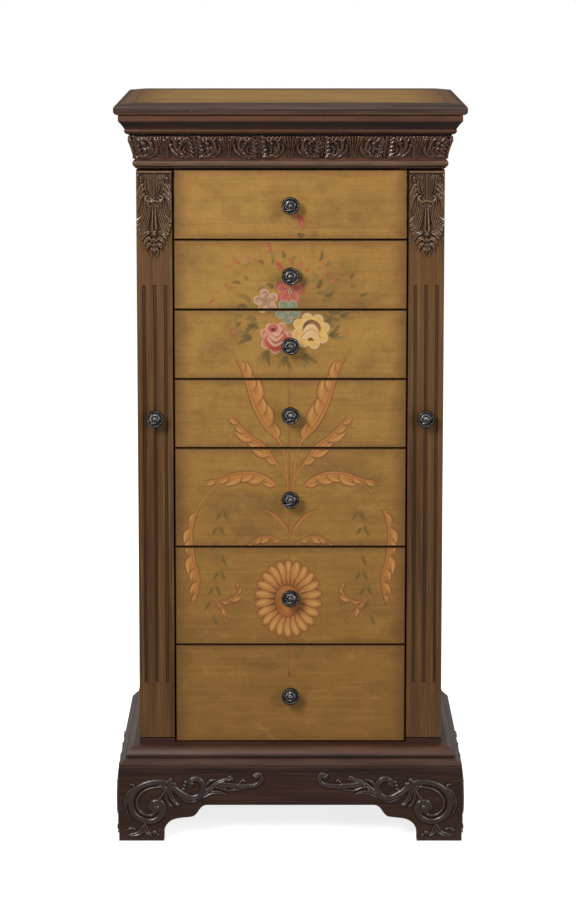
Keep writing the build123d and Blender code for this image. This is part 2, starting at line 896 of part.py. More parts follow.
def door_hooks():
    """Upturned pegs with ball ends, each on a small round plate."""
    x0, _, y0, y1, z0, z1 = hook_rail_span()
    pitch = (y1 - y0) / hook_count
    middle = Pos(0, 0, hook_plate / 2)
    arm = Pos(0, 0, (hook_plate + hook_reach) / 2) * Cylinder(hook_radius, hook_reach - hook_plate)
    ball = Pos(0, 0, hook_reach) * Sphere(hook_ball_radius)
    lifted = middle * Rot(hook_tilt, 0, 0) * Pos(0, 0, -hook_plate / 2) * (arm + ball)
    peg = middle * Cylinder(hook_ball_radius + hook_plate_rim, hook_plate) + lifted
    peg &= Pos(0, 0, hook_reach) * Box(2 * hook_reach, 2 * hook_reach, 2 * hook_reach)
    hooks = []
    for i in range(hook_count):
        origin = (x0, y0 + (i + 0.5) * pitch, (z0 + z1) / 2)
        hooks.append(Location(Plane(origin, x_dir=(0, 1, 0), z_dir=(-1, 0, 0))) * peg)
    return hooks


def door_knob():
    place = knob_place(pilaster_middle(), door_knob_height)
    return [place * knob(), place * knob_screw(pilaster_board)]


def door_hardware():
    leaf = hinge_leaf(door_hinge_length, door_hinge_leaf_width, fixed=False)
    return [*[place * leaf for place in door_hinge_planes()], *strike_plates()]


def door_carving():
    """A hanging acanthus leaf, thick under its ledge and thin at its tip."""
    half = (half_width - pilaster_inner) / 2 - corbel_side_margin
    drop = corbel_height
    waist = (half * 0.22, -drop * 0.60)
    lobe = Spline((half, 0), (half * 0.82, -drop * 0.17), (half * 0.45, -drop * 0.40), waist)
    husk = Spline(waist, (half * 0.36, -drop * 0.72), (half * 0.18, -drop * 0.88), (0, -drop))
    sides = [lobe, husk, mirror(husk, about=Plane.YZ), mirror(lobe, about=Plane.YZ)]
    leaf = extrude(Plane.XZ * make_face([Line((-half, 0), (half, 0)), *sides]), corbel_relief)
    shoulder = (-corbel_relief, -drop * corbel_crown_share)
    tip = (-corbel_relief * corbel_tip_share, -drop)
    fall = make_face(Polyline((0, 0), (-corbel_relief, 0), shoulder, tip, (0, -drop), close=True))
    leaf &= extrude(Plane.YZ * fall, half * 2, both=True)
    ledge = board(-half, half, -corbel_relief - corbel_ledge_reach, 0, -corbel_ledge, 0)
    return [Pos(pilaster_middle(), face_y, door_top) * (leaf + ledge)]


# Drawers


def drawer_front(span):
    bottom, top = span
    half = drawer_front_width / 2
    front = board(-half, half, face_y, box_front_y, bottom, top)
    edges = front.faces().sort_by(Axis.Y)[0].edges()
    front = fillet(edges, front_edge_round)
    return [front - knob_hole(0, (bottom + top) / 2, drawer_front_board)]


def drawer_box(span):
    """Two sides, a back and a bottom let in between them."""
    bottom, top = span[0] + drawer_box_lift, span[1] - drawer_box_drop
    inner = box_half_width - drawer_side_board
    side = board(inner, box_half_width, box_front_y, box_back_y, bottom, top)
    back = board(-inner, inner, box_back_y - drawer_side_board, box_back_y, bottom, top)
    floor = bottom + drawer_bottom_lift
    base_back = box_back_y - drawer_side_board
    base = board(-inner, inner, box_front_y, base_back, floor, floor + drawer_bottom_board)
    return [*both_sides(side), back, base]


def drawer_knob(span):
    place = knob_place(0, (span[0] + span[1]) / 2)
    return [place * knob(), place * knob_screw(drawer_front_board)]


# Applied scrolls on the plinth


def scroll_band(width, *points):
    """A flat band of one width along a smooth line."""
    return trace(Spline(*points), width)


def scroll_ball(x, z, radius):
    return Pos(x, z) * Circle(radius)


def corner_scroll():
    """Scrollwork of one corner, with the corner's edge at x = 0 and the carving towards -X."""
    stem = 5.0
    shapes = [
        Pos(-41, 57) * (Ellipse(23, 29) - Ellipse(23 - stem, 29 - stem)),
        scroll_band(stem, (-41, 81), (-32, 74), (-28, 62), (-31, 50), (-38, 48)),
        scroll_ball(-35, 50, stem),
        scroll_band(stem, (-62, 66), (-72, 74), (-78, 84), (-69, 90)),
        scroll_band(stem, (-60, 56), (-75, 50), (-92, 52), (-108, 62), (-112, 76), (-103, 82)),
        scroll_ball(-105, 78, stem),
        scroll_band(stem, (-112, 70), (-128, 78), (-146, 84), (-166, 88), (-186, 93), (-194, 90)),
        scroll_ball(-193, 91, stem),
        scroll_band(stem, (-22, 74), (-17, 62), (-17, 48), (-20, 40)),
        scroll_band(stem, (-54, 32), (-40, 24), (-26, 20), (-14, 22)),
    ]
    outline = shapes[0]
    for shape in shapes[1:]:
        outline += shape
    return extrude(outline, carving_relief)


def plinth_carvings():
    """Scrollwork either side of each front corner of the plinth."""
    half = half_width + plinth_overhang
    front = face_y - plinth_overhang
    scroll = corner_scroll()
    ahead = Location(Plane((half, front, 0), x_dir=(1, 0, 0), z_dir=(0, -1, 0))) * scroll
    turned = mirror(scroll, about=Plane.YZ)
    beside = Location(Plane((half, front, 0), x_dir=(0, 1, 0), z_dir=(1, 0, 0))) * turned
    return [*both_sides(ahead), *both_sides(beside)]


save("plinth_front", plinth_front())
save("plinth_sides", plinth_sides())
save("plinth_back", plinth_back())
save("foot_blocks", foot_blocks())
save("base_moulding", base_moulding())
save("plinth_carvings", plinth_carvings())
save("carcass_floor", carcass_floor())
save("back_panel", back_panel())
save("rear_posts", rear_posts())
save("drawer_runners", drawer_runners())
save("door_magnets", door_magnets())
save("door_hinge_body_leaves", door_hinge_body_leaves())
save("tray_floor", tray_floor())
save("tray_walls", tray_walls())
save("tray_dividers", tray_dividers())
save("ring_rolls", ring_rolls())
save("bead_moulding", bead_moulding())
save("frieze_moulding", frieze_moulding())
save("crown_moulding", crown_moulding())
save("lid_hinge_body_leaves", lid_hinge_body_leaves())
save("lid_hinge_lid_leaves", lid_hinge_lid_leaves())
save("lid_frame", lid_frame())
save("lid_panel", lid_panel())
save("lid_mirror", lid_mirror())
save("mirror_frame", mirror_frame())

for side, name in ((-1, "left"), (1, "right")):
    save(f"partition_{name}", hand([partition()], side))
    save(f"door_{name}_frame", hand(door_frame(), side))
    save(f"door_{name}_panel", hand(door_panel(), side))
    save(f"door_{name}_carving", hand(door_carving(), side))
    save(f"door_{name}_knob", hand(door_knob(), side))
    save(f"door_{name}_hooks", hand(door_hooks(), side))
    save(f"door_{name}_hardware", hand(door_hardware(), side))

for number, span in enumerate(drawer_spans(), start=1):
    save(f"drawer_{number}_front", drawer_front(span))
    save(f"drawer_{number}_box", drawer_box(span))
    save(f"drawer_{number}_knob", drawer_knob(span))
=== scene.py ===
import math

import bpy
import numpy as np
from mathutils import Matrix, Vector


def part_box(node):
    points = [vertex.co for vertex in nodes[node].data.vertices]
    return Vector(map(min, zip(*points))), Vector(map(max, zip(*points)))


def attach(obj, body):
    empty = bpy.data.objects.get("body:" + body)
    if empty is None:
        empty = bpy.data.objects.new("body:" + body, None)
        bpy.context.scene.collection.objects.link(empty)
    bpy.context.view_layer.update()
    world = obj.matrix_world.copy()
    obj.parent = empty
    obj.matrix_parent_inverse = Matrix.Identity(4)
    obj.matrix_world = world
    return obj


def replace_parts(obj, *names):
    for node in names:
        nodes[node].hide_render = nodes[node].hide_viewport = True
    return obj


# Jewelry armoire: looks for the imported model. Lengths are metres unless a name ends in _mm, and
# the motifs of the painting and the carvings are drawn in millimetres from places on the CAD.

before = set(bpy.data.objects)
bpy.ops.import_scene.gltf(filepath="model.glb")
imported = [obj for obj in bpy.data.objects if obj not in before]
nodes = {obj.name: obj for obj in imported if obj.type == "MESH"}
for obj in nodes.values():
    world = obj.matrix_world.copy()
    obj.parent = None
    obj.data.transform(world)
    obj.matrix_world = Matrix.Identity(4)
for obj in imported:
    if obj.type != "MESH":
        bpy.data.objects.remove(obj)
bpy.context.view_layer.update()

MM = 0.001
DRAWERS = range(1, 8)
SIDES = {"left": -1, "right": 1}


def middle(node):
    low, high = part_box(node)
    return (low + high) / 2


def linear(*rgb):
    """A colour given in 8-bit display values, as scene-linear RGBA."""
    values = [c / 255 for c in rgb]
    return tuple(c / 12.92 if c < 0.04045 else ((c + 0.055) / 1.055) ** 2.4 for c in values) + (1.0,)


def pigment(*rgb):
    """The same without its alpha, for the painting."""
    return linear(*rgb)[:3]


# Places read from the CAD
body_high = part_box("back_panel")[1]
half_width, back_y = body_high.x, body_high.y
face_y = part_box("drawer_1_front")[0].y
lid_low, lid_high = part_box("lid_frame")
lid_field_low, lid_field_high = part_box("lid_panel")
crown_low, crown_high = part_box("crown_moulding")
bead_low, bead_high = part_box("bead_moulding")
base_low, base_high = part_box("base_moulding")
plinth_low, plinth_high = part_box("plinth_front")
frieze_low, frieze_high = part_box("frieze_moulding")
tray_low, tray_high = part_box("tray_floor")
divider_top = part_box("tray_dividers")[1].z


# ---------------------------------------------------------------- materials


class Shader:
    """Builds one node material. A value is a socket, a number or a colour."""

    def __init__(self, name):
        self.material = bpy.data.materials.new(name)
        self.material.use_nodes = True
        self.tree = self.material.node_tree
        self.tree.nodes.clear()
        place = self.node("ShaderNodeTexCoord").outputs["Object"]
        self.x, self.y, self.z = self.node("ShaderNodeSeparateXYZ", Vector=place).outputs

    def node(self, kind, setup=None, **inputs):
        made = self.tree.nodes.new(kind)
        for key, value in (setup or {}).items():
            setattr(made, key, value)
        for key, value in inputs.items():
            self.plug(made.inputs[key.replace("_", " ")], value)
        return made

    def plug(self, socket, value):
        if isinstance(value, bpy.types.NodeSocket):
            self.tree.links.new(value, socket)
        else:
            socket.default_value = value

    def math(self, operation, a, b=0.0, clamp=False):
        made = self.node("ShaderNodeMath", {"operation": operation, "use_clamp": clamp})
        self.plug(made.inputs[0], a)
        self.plug(made.inputs[1], b)
        return made.outputs[0]

    def add(self, a, b):
        return self.math("ADD", a, b)

    def less(self, a, b):
        return self.math("SUBTRACT", a, b)

    def times(self, a, b):
        return self.math("MULTIPLY", a, b)

    def gap(self, a, b):
        """The distance between two numbers."""
        return self.math("ABSOLUTE", self.less(a, b))

    def span(self, value, low, high):
        """0 at low, 1 at high, smooth between them."""
        made = self.node("ShaderNodeMapRange", {"interpolation_type": "SMOOTHSTEP"}, Value=value)
        made.inputs["From Min"].default_value = low
        made.inputs["From Max"].default_value = high
        return made.outputs[0]

    def blend(self, factor, a, b):
        made = self.node("ShaderNodeMix", {"data_type": "RGBA"})
        self.plug(made.inputs[0], factor)
        self.plug(made.inputs[6], a)
        self.plug(made.inputs[7], b)
        return made.outputs[2]

    def wash(self, colour, tint, strength, value, low, high):
        """Tints a colour by as much as value has come from low to high."""
        return self.blend(self.times(self.span(value, low, high), strength), colour, tint)

    def either(self, factor, a, b):
        """A number between a and b."""
        made = self.node("ShaderNodeMix", {"data_type": "FLOAT"})
        self.plug(made.inputs[0], factor)
        self.plug(made.inputs[2], a)
        self.plug(made.inputs[3], b)
        return made.outputs[0]

    def noise(self, scale, along=None, detail=4.0, rough=0.55, shift=0.0):
        """Noise with a scale per metre: one number, or one along each axis."""
        scales = scale if isinstance(scale, tuple) else (scale,) * 3
        vector = self.node("ShaderNodeCombineXYZ")
        for socket, axis, size in zip(vector.inputs, along or (self.x, self.y, self.z), scales):
            self.plug(socket, self.add(self.times(axis, size), shift))
        facts = {"Vector": vector.outputs[0], "Scale": 1.0, "Detail": detail, "Roughness": rough}
        return self.node("ShaderNodeTexNoise", **facts).outputs[0]

    def bump(self, height, strength, distance):
        return self.node("ShaderNodeBump", Height=height, Strength=strength, Distance=distance).outputs[0]

    def finish(self, colour, roughness, normal=None, fixed=None):
        shader = self.node("ShaderNodeBsdfPrincipled", Base_Color=colour, Roughness=roughness)
        for name, value in (fixed or {}).items():
            shader.inputs[name].default_value = value
        if normal is not None:
            self.tree.links.new(normal, shader.inputs["Normal"])
            self.tree.links.new(normal, shader.inputs["Coat Normal"])
        output = self.node("ShaderNodeOutputMaterial")
        self.tree.links.new(shader.outputs[0], output.inputs[0])
        return self.material


def run_axes(s):
    """Axes that follow a moulding: along X on the front, and along Y on the two sides."""
    out_side = s.less(s.math("ABSOLUTE", s.x), half_width)
    out_front = s.less(face_y, s.y)
    beside = s.math("GREATER_THAN", out_side, out_front)
    return s.either(beside, s.x, s.y), s.either(beside, s.y, s.x), s.z


def grain_axes(s, grain):
    """Axes with the first one along the wood's grain."""
    if grain == "run":
        return run_axes(s)
    order = {"x": (s.x, s.y, s.z), "y": (s.y, s.x, s.z), "z": (s.z, s.x, s.y)}
    return order[grain]


def timber(s, grain, deep, body, pale):
    """Stained wood: colour with broad figure, fine streaks and pores along the grain, relief and streaks."""
    axes = grain_axes(s, grain)
    broad = s.noise((2.2, 26.0, 26.0), axes, detail=3.0)
    streak = s.noise((7.0, 330.0, 330.0), axes, detail=3.0, rough=0.6, shift=3.0)
    pore = s.noise((26.0, 900.0, 900.0), axes, detail=2.0, shift=9.0)
    colour = s.blend(s.span(broad, 0.32, 0.68), deep, body)
    colour = s.wash(colour, pale, 0.75, streak, 0.45, 0.75)
    colour = s.wash(colour, deep, 0.65, pore, 0.56, 0.70)
    return colour, s.add(s.times(streak, 0.6), s.times(pore, 0.4)), streak


# What the principled shader's sockets are set to, for varnished and for bare rubbed surfaces
SATIN = {"Coat Weight": 0.25, "Coat Roughness": 0.22, "Specular IOR Level": 0.4}
RUBBED = {"Specular IOR Level": 0.12}


def stained(name, grain, deep, body, pale, layers=None, gloss=0.42, coat=SATIN):
    """Stained and varnished wood. layers paints more over it, from the shader, its colour and its streaks."""
    s = Shader(name)
    colour, relief, streak = timber(s, grain, deep, body, pale)
    if layers:
        colour = layers(s, colour, streak)
    patch = s.noise(18.0, detail=5.0, shift=5.0)
    roughness = s.add(s.times(patch, 0.18), gloss - 0.09)
    return s.finish(colour, roughness, s.bump(relief, 0.25, 0.0004), coat)


def ring_line(s, colour, level, reach, tint, strength):
    """A worn or shaded line round a moulding at one height."""
    band = s.less(1.0, s.span(s.gap(s.z, level), reach * 0.4, reach))
    patchy = s.either(s.span(s.noise((12.0, 12.0, 90.0), detail=5.0, shift=level), 0.38, 0.62), 0.55, 1.0)
    return s.blend(s.times(s.times(band, strength), patchy), colour, tint)


OCHRE_HIGH = linear(177, 133, 62)
OCHRE_LOW = linear(141, 98, 40)
OCHRE_WARM = linear(158, 110, 46)
OCHRE_PALE = linear(190, 150, 80)
OCHRE_SMUDGE = linear(110, 77, 34)
BURNISH = linear(92, 56, 26)
BURNISH_DEEP = linear(48, 27, 14)
EDGE_WOOD = linear(96, 58, 30)
EDGE_START, EDGE_END = 0.0022, 0.0034


def ochre(s, x_mid, x_half, z_mid, z_half, grain, reach):
    """Gold-ochre paint over wood, burnished brown towards the edges of its panel."""
    across = s.z if grain == "x" else s.y
    smudge = s.noise((8.0, 14.0, 13.0), detail=6.0, rough=0.62)
    cloud = s.noise((3.0, 5.0, 5.0), shift=4.0)
    streak = s.noise((9.0, 300.0, 300.0), detail=3.0, rough=0.65, shift=2.0)
    weave = s.noise(420.0, detail=3.0, shift=8.0)
    thread = s.noise((700.0, 60.0, 60.0), detail=2.0, shift=1.0)
    fleck = s.noise((34.0, 46.0, 46.0), detail=6.0, rough=0.7, shift=12.0)
    colour = s.blend(s.span(s.z, 0.05, 0.95), OCHRE_LOW, OCHRE_HIGH)
    for tint, strength, *mark in (
        (OCHRE_WARM, 0.60, cloud, 0.40, 0.70),
        (OCHRE_SMUDGE, 0.60, smudge, 0.46, 0.70),
        (OCHRE_SMUDGE, 0.26, fleck, 0.48, 0.68),
        (OCHRE_PALE, 0.22, fleck, 0.46, 0.32),
        (OCHRE_PALE, 0.16, streak, 0.50, 0.74),
        (OCHRE_SMUDGE, 0.22, streak, 0.50, 0.28),
        (OCHRE_SMUDGE, 0.22, weave, 0.50, 0.70),
        (OCHRE_SMUDGE, 0.14, thread, 0.52, 0.72),
    ):
        colour = s.wash(colour, tint, strength, *mark)
    to_x = s.less(x_half, s.gap(s.x, x_mid))
    to_z = s.less(z_half, s.gap(across, z_mid))
    ragged = s.times(s.less(smudge, 0.5), reach * 3.4)
    ends = s.span(s.add(to_x, ragged), reach * 1.9, -reach * 0.4)
    rims = s.span(s.add(to_z, s.times(ragged, 0.55)), reach * 0.8, 0.0)
    burnish = s.math("MAXIMUM", s.times(ends, 0.72), s.times(rims, 0.36))
    colour = s.blend(burnish, colour, BURNISH)
    colour = s.wash(colour, BURNISH_DEEP, 0.8, s.math("MINIMUM", to_x, to_z), 0.0016, 0.0004)
    return colour, s.add(s.times(streak, 0.7), s.times(weave, 0.3)), smudge


def painted(name, *facts, decorated=False, coat=SATIN):
    """Painted panel, from facts as ochre takes them. A decorated one also shows its mesh's paint."""
    s = Shader(name)
    colour, relief, smudge = ochre(s, *facts)
    if decorated:
        paint = s.node("ShaderNodeAttribute", {"attribute_name": "paint"})
        rubbed = s.noise((40.0, 40.0, 260.0), detail=5.0, rough=0.7, shift=6.0)
        hold = s.times(paint.outputs["Alpha"], s.either(s.span(rubbed, 0.60, 0.74), 1.0, 0.72))
        colour = s.blend(hold, colour, paint.outputs["Color"])
    elif "x" in facts:
        colour = s.blend(s.span(s.y, face_y + EDGE_START, face_y + EDGE_END), colour, EDGE_WOOD)
    roughness = s.add(s.times(smudge, 0.2), 0.36)
    return s.finish(colour, roughness, s.bump(relief, 0.22, 0.0003), coat)


def flocked(s, tint, shade):
    """Short dense pile: colour and relief."""
    pile = s.noise(1400.0, detail=2.0)
    lay = s.noise(22.0, detail=4.0, shift=3.0)
    colour = s.blend(s.span(lay, 0.35, 0.68), shade, tint)
    return s.wash(colour, shade, 0.35, pile, 0.35, 0.7), pile


VELVET = {"Sheen Weight": 0.7, "Sheen Roughness": 0.35, "Specular IOR Level": 0.15}
FLOCK_TINT = linear(98, 34, 36)
FLOCK_SHADE = linear(58, 16, 20)


def lined(name, lining, deep, body, pale, grain="x"):
    """Wood whose inner faces are flocked. lining gives a 0 to 1 mask from the shader."""
    s = Shader(name)
    wood, relief, streak = timber(s, grain, deep, body, pale)
    cloth, pile = flocked(s, FLOCK_TINT, FLOCK_SHADE)
    mask = lining(s)
    colour = s.blend(mask, wood, cloth)
    roughness = s.either(mask, 0.5, 0.95)
    normal = s.bump(s.either(mask, relief, pile), 0.3, 0.0004)
    return s.finish(colour, roughness, normal, {"Specular IOR Level": 0.3})


def within(s, axis, middle_value, half):
    """1 where a coordinate lies within half of a middle value."""
    return s.math("LESS_THAN", s.gap(axis, middle_value), half)


def metal(name, tint, dark, light, roughness, wear=0.5, attribute=None):
    """Antiqued metal: dark in its hollows and rubbed bright on top."""
    s = Shader(name)
    cast = s.noise(260.0, detail=4.0)
    patina = s.noise(60.0, detail=5.0, shift=2.0)
    colour = s.blend(s.span(patina, 0.35, 0.65), dark, tint)
    rubbed = s.span(cast, 0.5, 0.72)
    if attribute:
        height = s.node("ShaderNodeAttribute", {"attribute_name": attribute}).outputs["Fac"]
        colour = s.blend(s.math("SUBTRACT", 1.0, height, clamp=True), colour, dark)
        rubbed = s.times(s.add(rubbed, 0.35), height)
    colour = s.blend(s.times(rubbed, wear), colour, light)
    rough = s.add(s.times(cast, 0.2), roughness - 0.1)
    return s.finish(colour, rough, s.bump(cast, 0.3, 0.0003), {"Metallic": 1.0})


# Woods, each as its deep, body and pale colours
DARK = (linear(36, 18, 11), linear(60, 32, 20), linear(84, 52, 38))
STAIN = (linear(76, 46, 20), linear(103, 69, 32), linear(128, 90, 45))
INNER = (linear(112, 78, 48), linear(150, 112, 74), linear(176, 138, 96))
SLATE = linear(66, 54, 48)
WORN = linear(150, 112, 74)
REDDISH = linear(104, 62, 38)
FLUTE_SHADE = linear(50, 30, 17)
PAINTED_SHADE_BLACK = linear(14, 9, 8)
SLATE_PALE = linear(100, 84, 76)
BEAD_BROWN = linear(112, 82, 62)
LID_END = linear(118, 80, 38)


def lid_layers(s, colour, streak):
    """The lid's front border is slate-brown, its ends fade from the field's ochre, its nose is scuffed."""
    scuff = s.noise(70.0, detail=5.0, shift=1.0)
    colour = s.blend(0.6, colour, s.blend(s.span(streak, 0.35, 0.7), SLATE, SLATE_PALE))
    beside = s.less(s.math("ABSOLUTE", s.x), lid_field_high.x)
    behind = s.less(s.y, lid_field_low.y)
    mitre = s.less(behind, s.times(beside, -0.2))
    end = s.times(s.span(mitre, -0.004, 0.004), s.span(beside, -0.004, 0.0))
    end = s.times(end, s.span(s.z, lid_high.z - 0.006, lid_high.z - 0.002))
    border = lid_high.x - lid_field_high.x
    fade = s.span(beside, border * 0.35, border * 0.95)
    colour = s.blend(end, colour, s.blend(fade, LID_END, DARK[1]))
    colour = s.wash(colour, WORN, 0.6, scuff, 0.66, 0.74)
    colour = ring_line(s, colour, lid_low.z + 0.0018, 0.0014, WORN, 0.55)
    return ring_line(s, colour, lid_high.z - 0.005, 0.002, SLATE_PALE, 0.5)


def rings(*lines):
    """Layers made of ring lines, each given as its height, reach, tint and strength."""

    def layers(s, colour, _):
        for line in lines:
            colour = ring_line(s, colour, *line)
        return colour

    return layers


# The crown is red-brown on its lip and small bulge; painted shade makes it near black in the hollow between them
# and along its foot
crown_layers = rings(
    (crown_high.z - 0.0035, 0.005, REDDISH, 0.75),
    (crown_low.z + 0.007, 0.003, REDDISH, 0.5),
    # Painted shade lines at the crown's foot and in its hollow
    (crown_low.z + 0.0015, 0.0025, PAINTED_SHADE_BLACK, 0.9),
    (crown_high.z - 0.0125, 0.0045, PAINTED_SHADE_BLACK, 0.8),
)
bead_layers = rings(
    (bead_high.z - 0.001, 0.002, REDDISH, 0.9),
    ((bead_low.z + bead_high.z) / 2, 0.005, BEAD_BROWN, 0.95),
)
# The base's bevels are rubbed to a greyer brown than the plinth below them
base_layers = rings(
    (base_low.z + 0.004, 0.005, linear(98, 72, 58), 0.65),
    (base_high.z - 0.006, 0.007, linear(108, 72, 52), 0.65),
)


def plinth_layers(s, colour, _):
    """A worn line along the arches, and a paler, greyer foot that is painted light reflected from the floor."""
    # Painted reflected light: the lowest 3 cm are washed paler, as if lit by the floor.
    colour = s.wash(colour, linear(70, 52, 44), 0.45, s.z, 0.03, 0.0)
    return ring_line(s, colour, plinth_high.z - 0.002, 0.002, linear(90, 64, 50), 0.5)


def pilaster_layers(s, colour, _):
    """Painted shade in the flutes, darker the deeper they go, and smoky darker patches."""
    # Painted shade: the flutes darken with depth behind the face.
    hollow = s.span(s.y, face_y + 0.0003, face_y + 0.0016)
    front = s.math("LESS_THAN", s.y, face_y + 0.004)
    inner = s.math("LESS_THAN", s.math("ABSOLUTE", s.x), half_width - 0.0015)
    colour = s.blend(s.times(s.times(hollow, front), s.times(inner, 0.6)), colour, FLUTE_SHADE)
    smoke = s.noise((6.0, 6.0, 3.0), detail=4.0, shift=7.0)
    return s.wash(colour, STAIN[0], 0.35, smoke, 0.5, 0.75)


def dress(material, *names):
    """Gives CAD nodes a material."""
    for name in names:
        slots = nodes[name].data.materials
        slots.clear()
        slots.append(material)


dark_wood = stained("dark_wood", "run", *DARK, plinth_layers)
dress(dark_wood, "plinth_front", "plinth_sides", "plinth_back", "foot_blocks", "carcass_floor")
for part, layers in (("base", base_layers), ("bead", bead_layers), ("crown", crown_layers)):
    dress(stained(f"{part}_wood", "run", *DARK, layers), f"{part}_moulding")
dress(stained("lid_wood", "run", *DARK, lid_layers, coat=RUBBED), "lid_frame")
dress(stained("mirror_bead_wood", "x", *DARK), "mirror_frame")
pilaster_wood = stained("pilaster_wood", "z", *STAIN, pilaster_layers)
panel_wood = stained("panel_wood", "z", *STAIN)
for side in SIDES:
    dress(pilaster_wood, f"door_{side}_frame")
    dress(panel_wood, f"door_{side}_panel")
inner_wood = stained("inner_wood", "z", *INNER, gloss=0.6, coat={})
dress(inner_wood, "rear_posts", "partition_left", "partition_right", "drawer_runners")
dress(stained("back_wood", "z", *STAIN, gloss=0.6, coat={}), "back_panel")


def painted_piece(node, grain="x", reach=0.014, coat=SATIN):
    """Paints a CAD panel, and returns the facts that its paint was made from."""
    low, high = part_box(node)
    centre, half = (low + high) / 2, (high - low) / 2
    across = 2 if grain == "x" else 1
    facts = (centre.x, half.x, centre[across], half[across], grain, reach)
    dress(painted(node + "_paint", *facts, coat=coat), node)
    return facts


painted_piece("lid_panel", grain="y", reach=0.03, coat=RUBBED)
drawer_facts = {n: painted_piece(f"drawer_{n}_front") for n in DRAWERS}

CLOTH_EDGE = 0.0004
SIDE_BOARD = 0.009
DRAWER_FLOOR = 0.007
for n in DRAWERS:
    box_low, box_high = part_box(f"drawer_{n}_box")

    def inside_drawer(s, low=box_low, high=box_high):
        """The inner faces of the sides and back, and the bottom's upper face."""
        inner = within(s, s.x, 0.0, high.x - SIDE_BOARD + CLOTH_EDGE)
        ahead = s.math("LESS_THAN", s.y, high.y - SIDE_BOARD + CLOTH_EDGE)
        above = s.math("GREATER_THAN", s.z, low.z + DRAWER_FLOOR)
        return s.times(s.times(inner, ahead), above)

    dress(lined(f"drawer_{n}_lined", inside_drawer, *INNER, "y"), f"drawer_{n}_box")


def inside_tray(s):
    """The walls' inner faces, below the bare top edge."""
    inner = within(s, s.x, 0.0, tray_high.x + CLOTH_EDGE)
    deep = within(s, s.y, (tray_low.y + tray_high.y) / 2, (tray_high.y - tray_low.y) / 2 + CLOTH_EDGE)
    return s.times(inner, deep)


def divider_cloth(s):
    return s.math("LESS_THAN", s.z, divider_top - CLOTH_EDGE)


def floor_cloth(s):
    return s.math("GREATER_THAN", s.z, tray_low.z + 0.003)


dress(lined("tray_wall_lined", inside_tray, *DARK), "tray_walls")
dress(lined("tray_divider_lined", divider_cloth, *DARK), "tray_dividers")
dress(lined("tray_floor_lined", floor_cloth, *INNER), "tray_floor")

# Metals, each as its tint, dark and light colours
IRON = (linear(74, 72, 71), linear(36, 36, 38), linear(182, 178, 174))
BRASS = (linear(182, 140, 72), linear(96, 66, 30), linear(226, 196, 128))
antique_metal = metal("antique_metal", *IRON, 0.42)
brass = metal("brass_hardware", *BRASS, 0.3)
for side in SIDES:
    dress(antique_metal, f"door_{side}_knob")
    dress(brass, f"door_{side}_hooks", f"door_{side}_hardware")
for n in DRAWERS:
    dress(antique_metal, f"drawer_{n}_knob")
dress(brass, "door_hinge_body_leaves", "lid_hinge_body_leaves", "lid_hinge_lid_leaves")


def plastic(name, tint, shade):
    s = Shader(name)
    grit = s.noise(900.0, detail=3.0)
    cloud = s.noise(40.0, detail=3.0, shift=2.0)
    colour = s.blend(s.span(cloud, 0.3, 0.7), shade, tint)
    return s.finish(colour, s.add(s.times(grit, 0.2), 0.45), s.bump(grit, 0.2, 0.0002))


def glass(name):
    """Silvered mirror with faint breath marks and a greyer rim."""
    s = Shader(name)
    mark = s.noise(25.0, detail=5.0)
    to_edge = s.less(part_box("lid_mirror")[1].x, s.math("ABSOLUTE", s.x))
    rim = s.span(to_edge, 0.016, 0.0)
    colour = s.blend(s.times(rim, 0.5), linear(232, 236, 238), linear(150, 150, 146))
    return s.finish(colour, s.add(s.times(mark, 0.05), 0.02), None, {"Metallic": 1.0})


dress(plastic("magnet_case", linear(70, 66, 62), linear(52, 48, 46)), "door_magnets")
dress(glass("mirror_glass"), "lid_mirror")


# ---------------------------------------------------------------- drawing on a grid


def smooth_line(points, steps=10):
    """A smooth line through points, as evenly divided spans."""
    p = np.array(points, float)
    if len(p) == 2:
        t = np.linspace(0, 1, steps)[:, None]
        return p[0] * (1 - t) + p[1] * t
    ends = np.vstack([2 * p[0] - p[1], p, 2 * p[-1] - p[-2]])
    spans = []
    for a, b, c, d in zip(ends, ends[1:], ends[2:], ends[3:]):
        t = np.linspace(0, 1, steps, endpoint=False)[:, None]
        curve = 2 * b + (c - a) * t + (2 * a - 5 * b + 4 * c - d) * t**2 + (3 * b - a - 3 * c + d) * t**3
        spans.append(0.5 * curve)
    return np.vstack([*spans, p[-1:]])


def ease(value, low, high):
    t = np.clip((value - low) / (high - low), 0, 1)
    return t * t * (3 - 2 * t)


class Grid:
    """A flat grid of points, x across and z up, in millimetres."""

    def __init__(self, x0, x1, z0, z1, step):
        self.x = np.linspace(x0, x1, int(round((x1 - x0) / step)) + 1)
        self.z = np.linspace(z0, z1, int(round((z1 - z0) / step)) + 1)
        self.shape = (len(self.z), len(self.x))

    def near(self, line, reach):
        """The grid's window near a line, and the place along it and signed distance of each point."""
        low, high = line.min(0) - reach, line.max(0) + reach
        columns = slice(*np.searchsorted(self.x, (low[0], high[0])))
        rows = slice(*np.searchsorted(self.z, (low[1], high[1])))
        x, z = np.meshgrid(self.x[columns], self.z[rows])
        if x.size == 0:
            return None
        best = np.full(x.shape, 1e9)
        along = np.zeros(x.shape)
        side = np.zeros(x.shape)
        count = len(line) - 1
        for k, (a, b) in enumerate(zip(line, line[1:])):
            run = b - a
            t = np.clip(((x - a[0]) * run[0] + (z - a[1]) * run[1]) / max(run @ run, 1e-9), 0, 1)
            dx, dz = x - a[0] - t * run[0], z - a[1] - t * run[1]
            gap = np.hypot(dx, dz)
            closer = gap < best
            best = np.where(closer, gap, best)
            along = np.where(closer, (k + t) / count, along)
            side = np.where(closer, np.sign(run[0] * dz - run[1] * dx), side)
        return (rows, columns), along, best * np.where(side == 0, 1, side)


